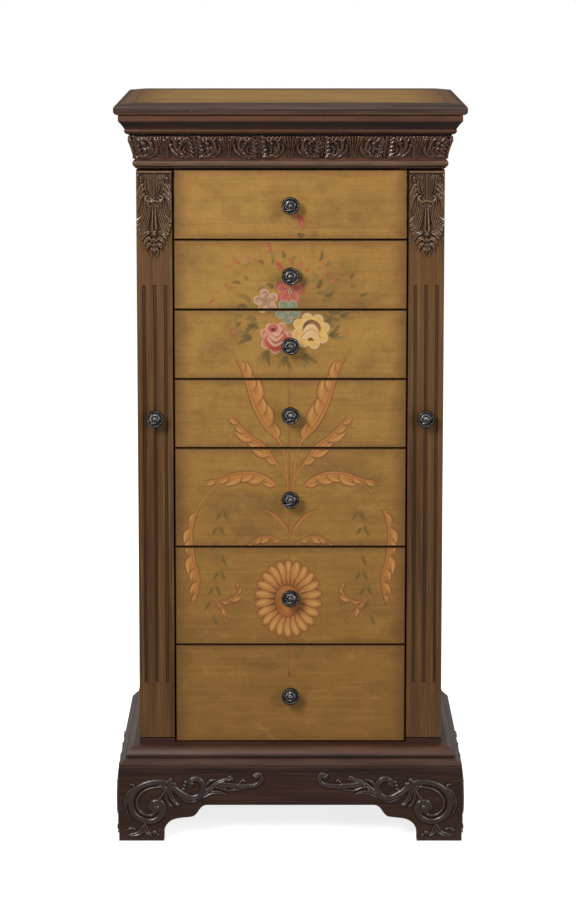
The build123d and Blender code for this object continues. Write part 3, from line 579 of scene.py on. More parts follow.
def leaf_width(along, blunt=0.5):
    """Half width of a leaf from its root to its tip, 1 at its widest."""
    return np.clip(np.sin(np.pi * np.clip(along, 0, 1) ** blunt), 0, 1) ** 0.8


STEM_PROFILE = ([0, 0.1, 0.85, 1], [0.7, 1, 0.8, 0.4])
OUTLINE = 1.1
SOFT_EDGE = 0.55


class Painting(Grid):
    """Paint laid on a grid: a colour and how fully it covers."""

    def __init__(self, *span):
        super().__init__(*span)
        self.colour = np.zeros(self.shape + (3,))
        self.cover = np.zeros(self.shape)

    def lay(self, window, mask, colour):
        old_colour, old_cover = self.colour[window], self.cover[window]
        under = old_cover * (1 - mask)
        cover = mask + under
        mixed = np.asarray(colour, float) * mask[..., None] + old_colour * under[..., None]
        mixed = mixed / np.maximum(cover, 1e-6)[..., None]
        self.colour[window] = np.where(mask[..., None] > 0, mixed, old_colour)
        self.cover[window] = cover

    def fill(self, window, mask, colour, light, glow):
        """Lays a colour that glow turns to its light one."""
        body = np.broadcast_to(np.asarray(colour, float), mask.shape + (3,))
        if light is not None:
            glow = glow[..., None]
            body = body * (1 - glow) + np.asarray(light) * glow
        self.lay(window, mask, body)

    def brush(
        self, points, width, colour, light=None, line=None, line_side=0, blunt=0.5, strength=0.9, even=False
    ):
        """One stroke: a leaf or petal along a line, or an even stem. line is its outline colour."""
        found = self.near(smooth_line(points), width)
        if found is None:
            return
        window, along, side = found
        profile = np.interp(along, *STEM_PROFILE) if even else leaf_width(along, blunt)
        half = width / 2 * profile
        gap = np.abs(side)
        if line is not None:
            wide = half + OUTLINE * (1 if line_side == 0 else np.sign(side) == line_side)
            fresh = ease(wide - gap, -SOFT_EDGE, SOFT_EDGE) * (along > 0.02) * (along < 0.995)
            self.lay(window, fresh * strength, line)
        mask = ease(half - gap, -SOFT_EDGE, SOFT_EDGE) * strength
        if not even:
            mask = mask * ease(along, 0, 0.05)
        offset = (side + 0.15 * half) / np.maximum(half * 0.45, 0.3)
        glow = 0.8 * np.exp(-(offset**2)) * ease(along, 0.1, 0.7)
        self.fill(window, mask, colour, light, glow)

    def spot(self, x, z, rx, rz, colour, light=None, line=None, turn=0.0, strength=0.92):
        """A soft oval."""
        found = self.near(np.array([(x, z), (x + 1e-6, z)]), max(rx, rz) + 2)
        if found is None:
            return
        window = found[0]
        gx, gz = np.meshgrid(self.x[window[1]], self.z[window[0]])
        c, s = math.cos(turn), math.sin(turn)
        u, v = ((gx - x) * c + (gz - z) * s) / rx, ((gz - z) * c - (gx - x) * s) / rz
        inside = (1 - np.hypot(u, v)) * min(rx, rz)
        if line is not None:
            self.lay(window, ease(inside + 1.0, -0.5, 0.5) * strength, line)
        glow = np.clip(1 - np.hypot(u + 0.2, v - 0.3), 0, 1)
        self.fill(window, ease(inside, -0.5, 0.5) * strength, colour, light, glow)


class Relief(Grid):
    """Carving on a grid: its height above the ground."""

    def __init__(self, *span):
        super().__init__(*span)
        self.height = np.zeros(self.shape)

    def carve(self, points, width, height, groove=0.0, blunt=None, power=0.5):
        """A rounded stem, or with blunt a leaf. width and height may each be (start, end)."""
        path = smooth_line(points)
        w0, w1 = width if isinstance(width, tuple) else (width, width)
        h0, h1 = height if isinstance(height, tuple) else (height, height)
        found = self.near(path, max(w0, w1) * 0.6 + 0.5)
        if found is None:
            return
        window, along, side = found
        half = (w0 + (w1 - w0) * along) / 2
        if blunt:
            half = half * leaf_width(along, blunt) + 0.05
        q = np.clip(np.abs(side) / half, 0, 1)
        form = (1 - q * q) ** power
        if groove:
            form = form * (1 - groove * np.exp(-(q / 0.22) ** 2))
        self.rise(window, form * (h0 + (h1 - h0) * along) * (q < 1))

    def strokes(self, rows, hand=1, start=0.0):
        """Carves rows of width, height, groove, blunt and line. Its x runs from start towards a hand."""
        for width, height, groove, blunt, line in rows:
            self.carve([(start + hand * x, z) for x, z in line], width, height, groove, blunt)

    def ball(self, x, z, radius, height):
        found = self.near(np.array([(x, z), (x + 1e-6, z)]), radius)
        if found is not None:
            q = np.clip(np.abs(found[2]) / radius, 0, 1)
            self.rise(found[0], np.sqrt(1 - q * q) * height)

    def rise(self, window, form):
        self.height[window] = np.maximum(self.height[window], form)


def slab(name, front, back, cells, tone, material, body, slot):
    """A closed piece between two grids of points, over the squares of the grid that cells picks.
    tone is paint as colour and cover, or a carving's proudness, at each point."""
    rows, columns = cells.shape
    index = np.arange((rows + 1) * (columns + 1)).reshape(rows + 1, columns + 1)
    total = index.size
    a, b, c, d = index[:-1, :-1], index[:-1, 1:], index[1:, 1:], index[1:, :-1]
    quads = [np.stack([k[cells] for k in (a, b, c, d)], 1)]
    quads.append(quads[0][:, ::-1] + total)
    framed = np.pad(cells, 1)
    borders = [
        (framed[:-2, 1:-1], a, b),
        (framed[1:-1, 2:], b, c),
        (framed[2:, 1:-1], c, d),
        (framed[1:-1, :-2], d, a),
    ]
    for beyond, p, q in borders:
        edge = cells & ~beyond
        quads.append(np.stack([q[edge], p[edge], p[edge] + total, q[edge] + total], 1))
    faces = np.vstack(quads)
    used, faces = np.unique(faces, return_inverse=True)
    faces = faces.reshape(-1, 4)
    points = np.vstack([front.reshape(-1, 3), back.reshape(-1, 3)])[used]
    mesh = bpy.data.meshes.new(name)
    mesh.from_pydata(points.tolist(), [], faces.tolist())
    mesh.shade_smooth()
    mesh.set_sharp_from_angle(angle=math.radians(62))
    both = np.concatenate([tone.reshape(total, -1)] * 2)[used]
    kinds = {4: ("paint", "FLOAT_COLOR", "color"), 1: ("proud", "FLOAT", "value")}
    layer_name, kind, field = kinds[both.shape[1]]
    layer = mesh.attributes.new(layer_name, kind, "POINT")
    layer.data.foreach_set(field, np.ascontiguousarray(both, np.float32).ravel())
    return add_piece(name, mesh, material, body)


def add_piece(name, mesh, material, body):
    piece = bpy.data.objects.new(name, mesh)
    bpy.context.scene.collection.objects.link(piece)
    mesh.materials.append(material)
    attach(piece, body)
    return piece


def touched(values, level):
    """Squares of the grid with any corner over a level."""
    over = values > level
    return over[:-1, :-1] | over[:-1, 1:] | over[1:, 1:] | over[1:, :-1]


# ---------------------------------------------------------------- painted decoration

GOLD = pigment(186, 125, 58)
GOLD_LIGHT = pigment(210, 158, 88)
ORANGE = pigment(172, 104, 48)
MAROON = pigment(112, 58, 40)
OLIVE = pigment(112, 92, 44)
OLIVE_LIGHT = pigment(142, 120, 62)
OLIVE_DARK = pigment(82, 68, 38)
RED = pigment(176, 64, 54)
ROSE = pigment(188, 104, 84)
BLUSH = pigment(214, 168, 138)
CREAM = pigment(222, 190, 146)
YELLOW = pigment(214, 168, 76)
TEAL = pigment(106, 124, 104)
TEAL_LIGHT = pigment(150, 150, 120)
MAUVE = pigment(156, 116, 88)
PLUM = pigment(76, 40, 42)

knob_places = {n: middle(f"drawer_{n}_knob") / MM for n in DRAWERS}


def by_knob(n, *offsets):
    """Places given from the middle of a drawer's knob."""
    centre = knob_places[n]
    return [(centre.x + dx, centre.z + dz) for dx, dz in offsets]


def mirrored(offsets, side):
    return [(side * dx, dz) for dx, dz in offsets]


def acanthus(paint, spine, side, reach, count, first):
    """A leaf along its spine, from the root: curled lobes leave one side of it and point to its tip."""
    path = smooth_line(spine, 12)
    last = len(path) - 1
    blade = path[int(first * 0.8 * last) :: 4]
    paint.brush(path[::6], reach * 0.26, MAROON, even=True, strength=0.7)
    paint.brush(blade, reach * 0.62, GOLD, ORANGE, MAROON, -side, blunt=0.8)
    for k in range(count):
        t = first + (0.88 - first) * k / max(count - 1, 1)
        start = path[int(t * last)]
        ahead = path[min(int((t + 0.2) * last), last)]
        run = ahead - start
        along = run / max(np.hypot(*run), 1e-6)
        out = np.array([-along[1], along[0]]) * side
        share = (t - first) / (1 - first)
        grown = reach * (0.55 + 0.55 * math.sin(math.pi * min(share + 0.18, 1.0))) * (0.86 + 0.28 * (k % 2))
        along, out = along * grown, out * grown
        lobe = [start, start + along * 0.80 + out * 0.66, start + along * 2.10 + out * 0.84]
        paint.brush(lobe, grown * 0.56, GOLD, GOLD_LIGHT, MAROON, side, blunt=0.95)
        fold = [start, start + along * 0.95 + out * 0.30, start + along * 2.0 + out * 0.25]
        paint.brush(fold, grown * 0.46, GOLD, ORANGE, blunt=0.9, strength=0.75)
    paint.brush(path[::6], reach * 0.18, GOLD, ORANGE, even=True, strength=0.9)
    paint.brush(path[int(0.3 * last) :: 6], 1.2, MAROON, blunt=0.7, strength=0.6)


def leaf(paint, x, z, reach, lean, curl, width, tints, strength):
    """A slim leaf from a point, that curls towards its tip."""
    mid = (x + reach * 0.5 * math.cos(lean), z + reach * 0.5 * math.sin(lean))
    tip = (x + reach * math.cos(lean + curl), z + reach * math.sin(lean + curl))
    paint.brush([(x, z), mid, tip], width, *tints, blunt=0.8, strength=strength)


def leaf_spray(paint, centre, count, near, far, length, width, tints, turn):
    """Loose slim leaves that point away from a centre, in threes, spread by the golden angle."""
    for k in range(count):
        cluster, member = divmod(k, 3)
        angle = turn + 2.39996 * cluster + 0.13 * (member - 1)
        far_share = (cluster * 0.618 + turn) % 1.0
        distance = near + (far - near) * far_share + 5.0 * member
        if math.sin(angle) < -0.62:
            continue
        x = centre[0] + distance * 1.08 * math.cos(angle)
        z = centre[1] + distance * 0.84 * math.sin(angle)
        lean = angle + 0.55 * (member - 1) + 0.2 * math.sin(5.1 * k)
        reach = length * (0.7 + 0.6 * ((k * 0.37) % 1.0))
        leaf(paint, x, z, reach, lean, 0.3, width, tints[k % len(tints)], 0.72)


def fan(paint, x, z, count, length, spread, aim):
    """A tuft of slim leaves from one point. aim is its middle direction."""
    for k in range(count):
        lean = aim + spread * (k / max(count - 1, 1) - 0.5)
        reach = length * (0.75 + 0.35 * math.sin(2.1 * k + 1))
        tints = ((OLIVE, OLIVE_LIGHT), (OLIVE_DARK, OLIVE))[k % 2]
        leaf(paint, x, z, reach, lean, 0.18, 5.4, tints, 0.7)


def about(x, z, radius, *shares):
    """Places given as shares of a radius from a flower's middle."""
    return [(x + radius * dx, z + radius * dz) for dx, dz in shares]


def oval(paint, x, z, radius, place, size, *tints, **more):
    """A spot whose place and half sizes are shares of a flower's radius."""
    paint.spot(*about(x, z, radius, place)[0], radius * size[0], radius * size[1], *tints, **more)


def petal(paint, x, z, radius, angle, out, size, *tints, **more):
    """An oval that points away from the flower's middle, out from it by two shares of its radius."""
    place = (out[0] * math.cos(angle), out[1] * math.sin(angle))
    oval(paint, x, z, radius, place, size, *tints, turn=angle, **more)


def blossom(paint, x, z, radius, hue, rim, eye, turn):
    """Round petals with a pale rim, darker towards the flower's eye."""
    for k in range(5):
        angle = turn + 2 * math.pi * k / 5
        petal(paint, x, z, radius, angle, (0.62, 0.62), (0.42, 0.38), rim, CREAM, strength=0.8)
        petal(paint, x, z, radius, angle, (0.54, 0.54), (0.36, 0.30), hue, rim)
        for lean in (-0.28, 0.0, 0.28):
            c, s = math.cos(angle + lean), math.sin(angle + lean)
            vein = about(x, z, radius, (0.18 * c, 0.18 * s), (0.66 * c, 0.66 * s))
            paint.brush(vein, 1.7, eye if lean == 0 else hue, blunt=0.7, strength=0.45)
    oval(paint, x, z, radius, (0, 0), (0.22, 0.18), eye)
    for k in range(5):
        angle = turn + 1.3 * k
        paint.spot(x + 2.4 * math.cos(angle), z + 2.4 * math.sin(angle), 1.1, 0.8, CREAM, turn=angle)


def rose(paint, x, z, radius):
    """Pale outer petals round a red cup, with a small bud at its top."""
    for k in range(7):
        angle = math.pi * (1.0 + 0.30 * k) - 0.4
        petal(paint, x, z, radius, angle, (0.70, 0.66), (0.36, 0.30), BLUSH, CREAM, strength=0.8)
        petal(paint, x, z, radius, angle, (0.62, 0.58), (0.34, 0.28), ROSE, BLUSH)
    oval(paint, x, z, radius, (0, -0.16), (0.72, 0.64), RED, ROSE)
    oval(paint, x, z, radius, (-0.06, 0.02), (0.56, 0.50), ROSE, BLUSH)
    for k in range(3):
        low = z - radius * (0.42 - 0.32 * k)
        wide = radius * (0.58 - 0.09 * k)
        tilt = radius * (0.10 - 0.12 * k)
        lift = low + radius * 0.34
        arc = [(x - wide, lift + tilt), (x - 1 - tilt, low - radius * 0.05), (x + wide * 0.9, lift - tilt)]
        paint.brush(arc, 4.4 - 0.6 * k, BLUSH, CREAM, blunt=0.9, strength=0.85)
        paint.brush([(px, pz - 2.6) for px, pz in arc], 1.8, RED, blunt=0.8, strength=0.7)
    oval(paint, x, z, radius, (-0.22, 0.60), (0.32, 0.27), RED, ROSE, BLUSH)
    oval(paint, x, z, radius, (-0.20, 0.53), (0.14, 0.10), PLUM)


def peony(paint, x, z, radius):
    """A large yellow flower: ruffled rim, dark hollow and pale inner petals."""
    for k in range(8):
        angle = 0.25 + 2 * math.pi * k / 8
        petal(paint, x, z, radius, angle, (0.70, 0.66), (0.36, 0.32), CREAM, YELLOW, strength=0.75)
        petal(paint, x, z, radius, angle, (0.62, 0.58), (0.32, 0.28), YELLOW, CREAM)
        c, s = math.cos(angle), math.sin(angle)
        vein = about(x, z, radius, (0.5 * c, 0.46 * s), (0.9 * c, 0.84 * s))
        paint.brush(vein, 2.4, ORANGE, blunt=0.7, strength=0.3)
    oval(paint, x, z, radius, (0, 0), (0.66, 0.62), YELLOW, CREAM)
    hollow = about(x, z, radius, (-0.46, -0.02), (-0.28, 0.36), (0.06, 0.50), (0.42, 0.28), (0.52, -0.06))
    paint.brush(hollow, radius * 0.24, PLUM, ORANGE, blunt=1.0)
    for lift, wide in ((0.10, 0.45), (-0.24, 0.52)):
        left, right = about(x, z, radius, (-wide, lift - 0.20), (wide, lift - 0.22))
        crest = [left, (x + 1, z + radius * (lift + 0.10)), right]
        paint.brush(crest, radius * 0.36, CREAM, YELLOW, ORANGE, 1, blunt=0.9)
    eye = about(x, z, radius, (-0.16, -0.52), (0, -0.44), (0.18, -0.54))
    paint.brush(eye, radius * 0.16, PLUM, blunt=0.9)


def rosette(paint, x, z, wide, tall):
    """An oval of 22 round-ended petals about an oval disc."""
    for k in range(22):
        angle = math.pi / 2 + 2 * math.pi * k / 22
        c, s = wide * math.cos(angle), tall * math.sin(angle)
        lean = abs(math.sin(angle))
        root = (x + 0.28 * c, z + 0.32 * s)
        paint.spot(x + 0.86 * c, z + 0.86 * s, 6.4, 5.9 + 0.6 * lean, GOLD, GOLD_LIGHT, MAROON, turn=angle)
        tip = (x + 0.97 * c, z + 0.97 * s)
        paint.brush([root, tip], 11.6 + 1.2 * lean, GOLD, GOLD_LIGHT, MAROON, blunt=1.9)
        paint.brush([root, (x + 0.72 * c, z + 0.72 * s)], 2.2, ORANGE, blunt=0.8, strength=0.7)
    paint.spot(x - 1.5, z - 3.0, 0.36 * wide, 0.39 * tall, ORANGE, GOLD, MAROON)
    paint.spot(x - 1.5, z - 3.0, 0.24 * wide, 0.27 * tall, GOLD, ORANGE, strength=0.6)


def sprig(paint, x, z, drop, count, side):
    """A hanging column of small green leaves in pairs."""
    for k in range(count):
        level = z - drop * k / count
        drift = x + side * 4.0 * math.sin(1.3 * k) + side * 2.0 * k
        for hand_side in (-1, 1):
            if (k + (hand_side > 0)) % 4 == 3:
                continue
            start = (drift + hand_side * 2.0, level - (3.0 if hand_side < 0 else 0.0))
            bend = (drift + hand_side * 4.5, level - 8.0)
            tip = (drift + hand_side * 9.0, level - 15.0)
            paint.brush([start, bend, tip], 4.4, OLIVE, OLIVE_DARK, blunt=0.75, strength=0.85)


# Leaf scrolls of the left half: the knob they are placed from, hand, reach, lobes, where the lobes
# start, and the spine from the root
SCROLLS = (
    (4, 1, 14, 7, 0.32, [(-3, -118), (-7, -66), (-14.9, -39), (-33, -16), (-46, 8), (-55, 34), (-63, 56),
                         (-80, 87)]),
    (4, -1, 11, 6, 0.26, [(-2.5, -100), (-12, -78), (-25, -62), (-36, -47), (-54, -33), (-68, -18),
                          (-80, -2)]),
    (3, -1, 11, 6, 0.12, [(-11, 8), (-25, 22), (-42, 30), (-58, 33), (-78, 31), (-97, 25), (-117, 23)]),
    (3, 1, 10, 7, 0.30, [(-96, 22), (-112, 6), (-126, -14), (-135, -38), (-137, -60), (-133, -90),
                         (-127, -112), (-129, -136), (-132, -150)]),
    (2, 1, 6, 4, 0.3, [(-112, 4), (-101, -6), (-88, -8), (-76, -2), (-71, 8), (-75, 16)]),
    (2, 1, 5, 3, 0.3, [(-106, -4), (-95, -14), (-82, -30)]),
)
TWIG = [(-1, -52), (-8, -40), (-20, -26), (-38, -15)]
WING = [(-1, -76), (-12, -62), (-30, -55), (-46, -58), (-62, -70)]
# Tufts round the bouquet: place from the fifth knob, leaves and middle direction
TUFTS = (
    (-52, 8, 4, 2.9), (-44, 22, 3, 2.6), (-30, -8, 4, 4.2), (-6, -15, 4, 4.5),
    (20, -12, 4, 5.0), (52, 12, 4, 0.2), (46, 30, 3, 0.6), (66, 40, 3, 0.1),
)


def decorate(paint):
    """The whole composition, drawn once for each drawer's grid and clipped by it."""
    stem_x = knob_places[4].x - 1.5
    stem_foot = knob_places[1].z + 27
    for top, bottom in ((knob_places[5].z - 31, knob_places[2].z + 55), (knob_places[2].z - 60, stem_foot)):
        stem = [(stem_x, top), (stem_x + 0.8, (top + bottom) / 2), (stem_x, bottom)]
        paint.brush(stem, 2.2, ORANGE, even=True, strength=0.8)
        paint.brush([(x - 0.7, z) for x, z in stem], 0.9, MAROON, even=True, strength=0.7)
    paint.spot(stem_x, stem_foot, 1.4, 4.5, MAROON, strength=0.7)

    bouquet = by_knob(5, (2.0, 52.0))[0]
    greens = [(OLIVE, OLIVE_LIGHT), (OLIVE_DARK, OLIVE), (OLIVE_LIGHT, OLIVE)]
    leaf_spray(paint, bouquet, 30, 30, 52, 17, 6.2, greens, 0.4)
    leaf_spray(paint, bouquet, 33, 50, 84, 12, 4.2, greens, 1.7)
    leaf_spray(paint, bouquet, 24, 54, 90, 10, 3.6, [(RED, ROSE), (ROSE, RED)], 2.9)
    for dx, dz, count, aim in TUFTS:
        fan(paint, *by_knob(5, (dx, dz))[0], count, 21, 0.9, aim)
    paint.brush(by_knob(7, (9, -13), (15, -22), (18, -34)), 8.0, RED, ROSE, blunt=1.0)
    paint.brush(by_knob(7, (9, -39), (14, -42), (19, -41)), 6.0, OLIVE_DARK, OLIVE, blunt=0.9)
    paint.brush(by_knob(7, (28, -48), (31, -42), (34, -36)), 4.0, OLIVE, OLIVE_LIGHT, blunt=0.9)
    paint.brush(by_knob(6, (-20, 18), (-14, 12), (-9, 4)), 6.0, RED, ROSE, blunt=1.0)
    paint.brush(by_knob(6, (-31, 44), (-28, 38), (-25, 30)), 4.6, RED, ROSE, blunt=1.0)

    blossom(paint, *by_knob(6, (-33, -36))[0], 16.5, MAUVE, BLUSH, PLUM, 0.5)
    blossom(paint, *by_knob(6, (-1, -22))[0], 20.0, ROSE, RED, MAROON, 0.2)
    blossom(paint, *by_knob(5, (-3.5, 45.5))[0], 17.0, TEAL, TEAL_LIGHT, OLIVE, 0.95)
    peony(paint, *by_knob(5, (27.5, 18.5))[0], 25.0)
    rose(paint, *by_knob(5, (-19, 9))[0], 22.0)

    for side in SIDES.values():
        for n, hand, reach, count, first, spine in SCROLLS:
            acanthus(paint, by_knob(n, *mirrored(spine, -side)), hand * side, reach, count, first)
        paint.brush(by_knob(3, *mirrored(TWIG, -side)), 4.0, GOLD, ORANGE, MAROON, side, blunt=1.2)
        acanthus(paint, by_knob(3, *mirrored(WING, -side)), -side, 6, 4, 0.3)
        sprig(paint, *by_knob(3, (side * 93, -17))[0], 168, 8, side)
    rosette(paint, *by_knob(2, (-3, -4))[0], 46.0, 55.0)


FILM = 0.00015
BURIED = 0.0003
PAINT_STEP = 0.8
PAINT_INSET = 1.3
for n in DRAWERS:
    front_low, front_high = [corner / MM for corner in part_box(f"drawer_{n}_front")]
    across = (front_low.x + PAINT_INSET, front_high.x - PAINT_INSET)
    paint = Painting(*across, front_low.z + PAINT_INSET, front_high.z - PAINT_INSET, PAINT_STEP)
    decorate(paint)
    if paint.cover.max() < 0.1:
        continue
    x, z = np.meshgrid(paint.x * MM, paint.z * MM)
    front, back = [np.stack([x, np.full(x.shape, y), z], -1) for y in (face_y - FILM, face_y + BURIED)]
    tone = np.concatenate([paint.colour, paint.cover[..., None]], -1)
    finish = painted(f"drawer_{n}_decoration", *drawer_facts[n], decorated=True)
    cells = touched(paint.cover, 0.03)
    slab(f"drawer_{n}_painting", front, back, cells, tone, finish, f"drawer_{n}", "painted_front")


# ---------------------------------------------------------------- carvings


def carved(name, deep, body, pale, crest, gloss=0.2, coat_rough=0.12):
    """Varnished, glossy carving: painted shade darkens its hollows and a painted highlight colour lightens its high
    parts.
    """
    s = Shader(name)
    height = s.node("ShaderNodeAttribute", {"attribute_name": "proud"}).outputs["Fac"]
    streak = s.noise((160.0, 160.0, 40.0), shift=3.0)
    patch = s.noise(45.0, detail=5.0, shift=8.0)
    colour = s.blend(s.span(streak, 0.35, 0.7), body, pale)
    colour = s.wash(colour, deep, 0.45, patch, 0.45, 0.7)
    # Painted shade: the hollows are darkened to near black.
    hollow = s.less(1.0, s.span(height, 0.05, 0.55))
    colour = s.blend(s.times(hollow, 0.92), colour, PAINTED_SHADE_BLACK)
    # Painted highlight: the crest colour lightens the highest parts of the carving.
    colour = s.wash(colour, crest, 0.55, height, 0.72, 1.0)
    roughness = s.add(s.times(patch, 0.14), gloss - 0.06)
    normal = s.bump(s.add(streak, s.times(patch, 0.6)), 0.18, 0.0004)
    coat = {"Coat Weight": 0.8, "Coat Roughness": coat_rough, "Specular IOR Level": 0.5}
    return s.finish(colour, roughness, normal, coat)


def shade_and_highlight_tone(height, reach=3):
    """How proud each point stands of what is round it, from 0 in a hollow to 1 on a crest. The carvings' painted
    shade and painted highlight are laid by it.
    """
    around = height.copy()
    for _ in range(reach):
        wide = np.pad(around, 1, mode="edge")
        around = (wide[:-2, 1:-1] + wide[2:, 1:-1] + wide[1:-1, :-2] + wide[1:-1, 2:] + 2 * around) / 6
    return np.clip(0.5 + (height - around) / 0.55, 0, 1)


# Carved woods, each as its deep, body, pale and crest colours; the crest colour is a painted highlight, and the
# hollows take painted shade
corbel_tints = (linear(48, 28, 14), linear(84, 55, 28), linear(110, 76, 44), linear(164, 132, 104))
frieze_tints = (linear(28, 13, 6), linear(56, 30, 13), linear(76, 43, 20), linear(120, 82, 56))
scroll_tints = (linear(26, 13, 9), linear(48, 29, 22), linear(66, 44, 36), linear(104, 80, 72))
corbel_wood = carved("corbel_wood", *corbel_tints)
frieze_wood = carved("frieze_wood", *frieze_tints)
scroll_wood = carved("scroll_wood", *scroll_tints, 0.34, 0.26)


# Strokes are rows of width, height, groove, blunt and line, for Relief.strokes
CORBEL_STROKES = (
    ((3.8, 3.0), (6.6, 8.2), 0.3, None, [(9, -3.5), (17, -4), (22, -8), (21, -14.5), (16, -15), (15, -10.5)]),
    (4.6, (6.4, 8.8), 0.25, 0.9, [(6.4, -4), (7.6, -18), (5.4, -35)]),
    (5.0, (6.0, 8.2), 0.25, 0.9, [(11.4, -6), (12.2, -20), (9.6, -33)]),
    (4.6, (5.8, 7.6), 0.25, 0.9, [(15.6, -17), (15.6, -25), (12.6, -34)]),
    ((5.6, 3.8), (11.0, 9.4), 0, None, [(0, -40.6), (6, -42), (10.6, -39.6), (11.4, -35.4), (8.4, -34.2)]),
    (5.4, (5.4, 3.4), 0, 0.8, [(1.5, -104), (4.6, -109), (2.4, -118)]),
)
FRIEZE_STROKES = (
    ((4.4, 3.4), (3.4, 5.0), 0.3, None, [(6, 1), (16, 3), (24, 9.5), (26, 19), (21.5, 26.5), (15.5, 24), (17, 19)]),
    ((3.6, 3.2), (3.0, 4.4), 0.35, None, [(10, 0.5), (22, 2), (30, 9), (33, 19), (31, 29)]),
    (4.0, 4.0, 0, 0.8, [(7, 30), (12, 26), (12.5, 20)]),
)


def carve_corbel(half, drop):
    """A hanging acanthus leaf: ledge, upper leaf with a rolled lip, fluted stem, husks and tip."""
    c = Relief(-half, half, -drop, 0, 0.5)
    c.carve([(0, -2), (0, -26), (0, -52)], (2 * half + 3, 2 * half - 2), (4.4, 5.4), power=0.32)
    c.carve([(0, -50), (0, -62), (0, -74)], (2 * half - 3, 34), (5.2, 4.2), power=0.4)
    c.carve([(0, -76), (0, -92), (0, -109)], (35, 13), (4.2, 2.8), power=0.45)
    c.carve([(0, -4), (0, -22), (0, -37)], (5.0, 4.0), (7.4, 9.6), groove=0.2)
    c.carve([(0, -43), (0, -60), (0, -80)], (5.0, 14.0), (6.6, 9.6), groove=0.5)
    for s in (-1, 1):
        c.strokes(CORBEL_STROKES, s)
        c.ball(s * 17.6, -10.6, 2.4, 8.6)
        for k in range(3):
            flute = [(15.5 - 0.8 * k, -19 - 6.5 * k), (19.2, -26 - 7.0 * k), (half - 1.2, -37 - 8.0 * k)]
            c.carve(mirrored(flute, s), (5.8, 5.6), (9.0, 7.0), groove=0.1)
            husk = [(5 - k, -83 - 7.5 * k), (12 - 2 * k, -86 - 7.5 * k), (17 - 3.4 * k, -95 - 6.5 * k)]
            c.carve(mirrored(husk, s), 8.4 - k, (9.0, 6.4), blunt=0.8, groove=0.2)
        for k in range(4):
            sweep = [(11.6 - 1.9 * k, -37 - 4.0 * k), (12.0 - 1.5 * k, -50 - 5.0 * k)]
            sweep += [(15.4 - 1.2 * k, -62 - 5.4 * k), (half - 1.4 - 1.6 * k, -69 - 5.6 * k)]
            c.carve(mirrored(sweep, s), (4.6, 6.4), (10.6 - 0.5 * k, 7.2), groove=0.3)
    c.ball(0, -86.0, 5.4, 9.6)
    for k in range(3):
        wide = 5.0 - 1.1 * k
        low = -94.0 - 6.6 * k
        c.ball(0, low, 4.8 - 0.8 * k, 10.2 - 1.4 * k)
        c.carve([(-wide - 1.5, low + 2.2), (0, low - 3.0), (wide + 1.5, low + 2.2)], 3.0, 8.0 - 1.2 * k)
    c.carve([(-half, -1.8), (half, -1.8)], 3.7, 9.9, power=0.2)
    return c


def points(x, y, z):
    """Points in metres from millimetres."""
    return np.stack(np.broadcast_arrays(x, y, z), -1) * MM


SUNK = -0.3
GROUND = 0.15


def flat_piece(name, relief, place, material, body, node, flipped=False):
    """A carving on a flat face, in place of a CAD node. place turns grid x, z and height into points."""
    x, z = np.meshgrid(relief.x, relief.z)
    front, back = place(x, z, relief.height), place(x, z, np.full(x.shape, SUNK))
    grids = [front, back, touched(relief.height, GROUND), shade_and_highlight_tone(relief.height)[..., None]]
    if flipped:
        grids = [grid[:, ::-1] for grid in grids]
        grids[:2] = [grid * MIRROR for grid in grids[:2]]
    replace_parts(slab(name, *grids, material, body, "carved_wood"), node)


MIRROR = np.array([-1, 1, 1])
face_mm, half_mm, back_mm = face_y / MM, half_width / MM, back_y / MM
for side in SIDES:
    corbel_low, corbel_high = [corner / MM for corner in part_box(f"door_{side}_carving")]
    centre_x = (corbel_low.x + corbel_high.x) / 2
    corbel = carve_corbel((corbel_high.x - corbel_low.x) / 2, corbel_high.z - corbel_low.z)

    def on_pilaster(x, z, height, centre=centre_x, top=corbel_high.z):
        return points(x + centre, face_mm - height, z + top)

    facts = (corbel_wood, f"door_{side}", f"door_{side}_carving")
    flat_piece(f"door_{side}_corbel", corbel, on_pilaster, *facts)


def carve_frieze(pitch, rise):
    """One repeat of the frieze: half an upright leaf at each end, and scrolled leaves that meet in a fan."""
    f = Relief(0, pitch, 0, rise, 0.7)
    for u in (0, pitch):
        f.carve([(u, 0), (u, 14), (u, 31)], (4.0, 5.0), (3.6, 5.2), groove=0.3, power=0.5)
        for s in (-1, 1):
            for k in range(5):
                z = 2 + 5.2 * k
                reach = 12.5 - 0.9 * k
                leaf = [(u + s * 2.4, z), (u + s * reach * 0.55, z + 1.5), (u + s * reach, z + 6.5)]
                f.carve(leaf, 5.4, (3.4, 4.6), blunt=0.9, groove=0.35)
            f.strokes(FRIEZE_STROKES, s, u)
            f.ball(u + s * 17.4, 20.6, 2.6, 5.0)
            for k in range(4):
                start = u + s * (13 + 5.4 * k)
                blade = [(start, 6.5 - 0.6 * k), (start + s * 3, 10.5 + k), (start + s * 1.0, 16 + 1.2 * k)]
                f.carve(blade, 3.6, (2.8, 4.2), blunt=0.9, groove=0.3)
                f.carve([(start - s * 3, 24.5), (start + s * 0.5, 29.4), (start + s * 4.5, 27)], 3.0, 3.8)
    for k in range(-2, 3):
        rib = [(pitch / 2 + 1.3 * k, 1), (pitch / 2 + 2.4 * k, 15), (pitch / 2 + 3.8 * k, 29.5)]
        f.carve(rib, (1.6, 3.6), (2.8, 5.2))
    return f


FRIEZE_REPEATS = 5
frieze_pitch = 2 * half_mm / FRIEZE_REPEATS
frieze_foot, frieze_top = frieze_low.z / MM, frieze_high.z / MM
frieze_tile = carve_frieze(frieze_pitch, frieze_top - frieze_foot)


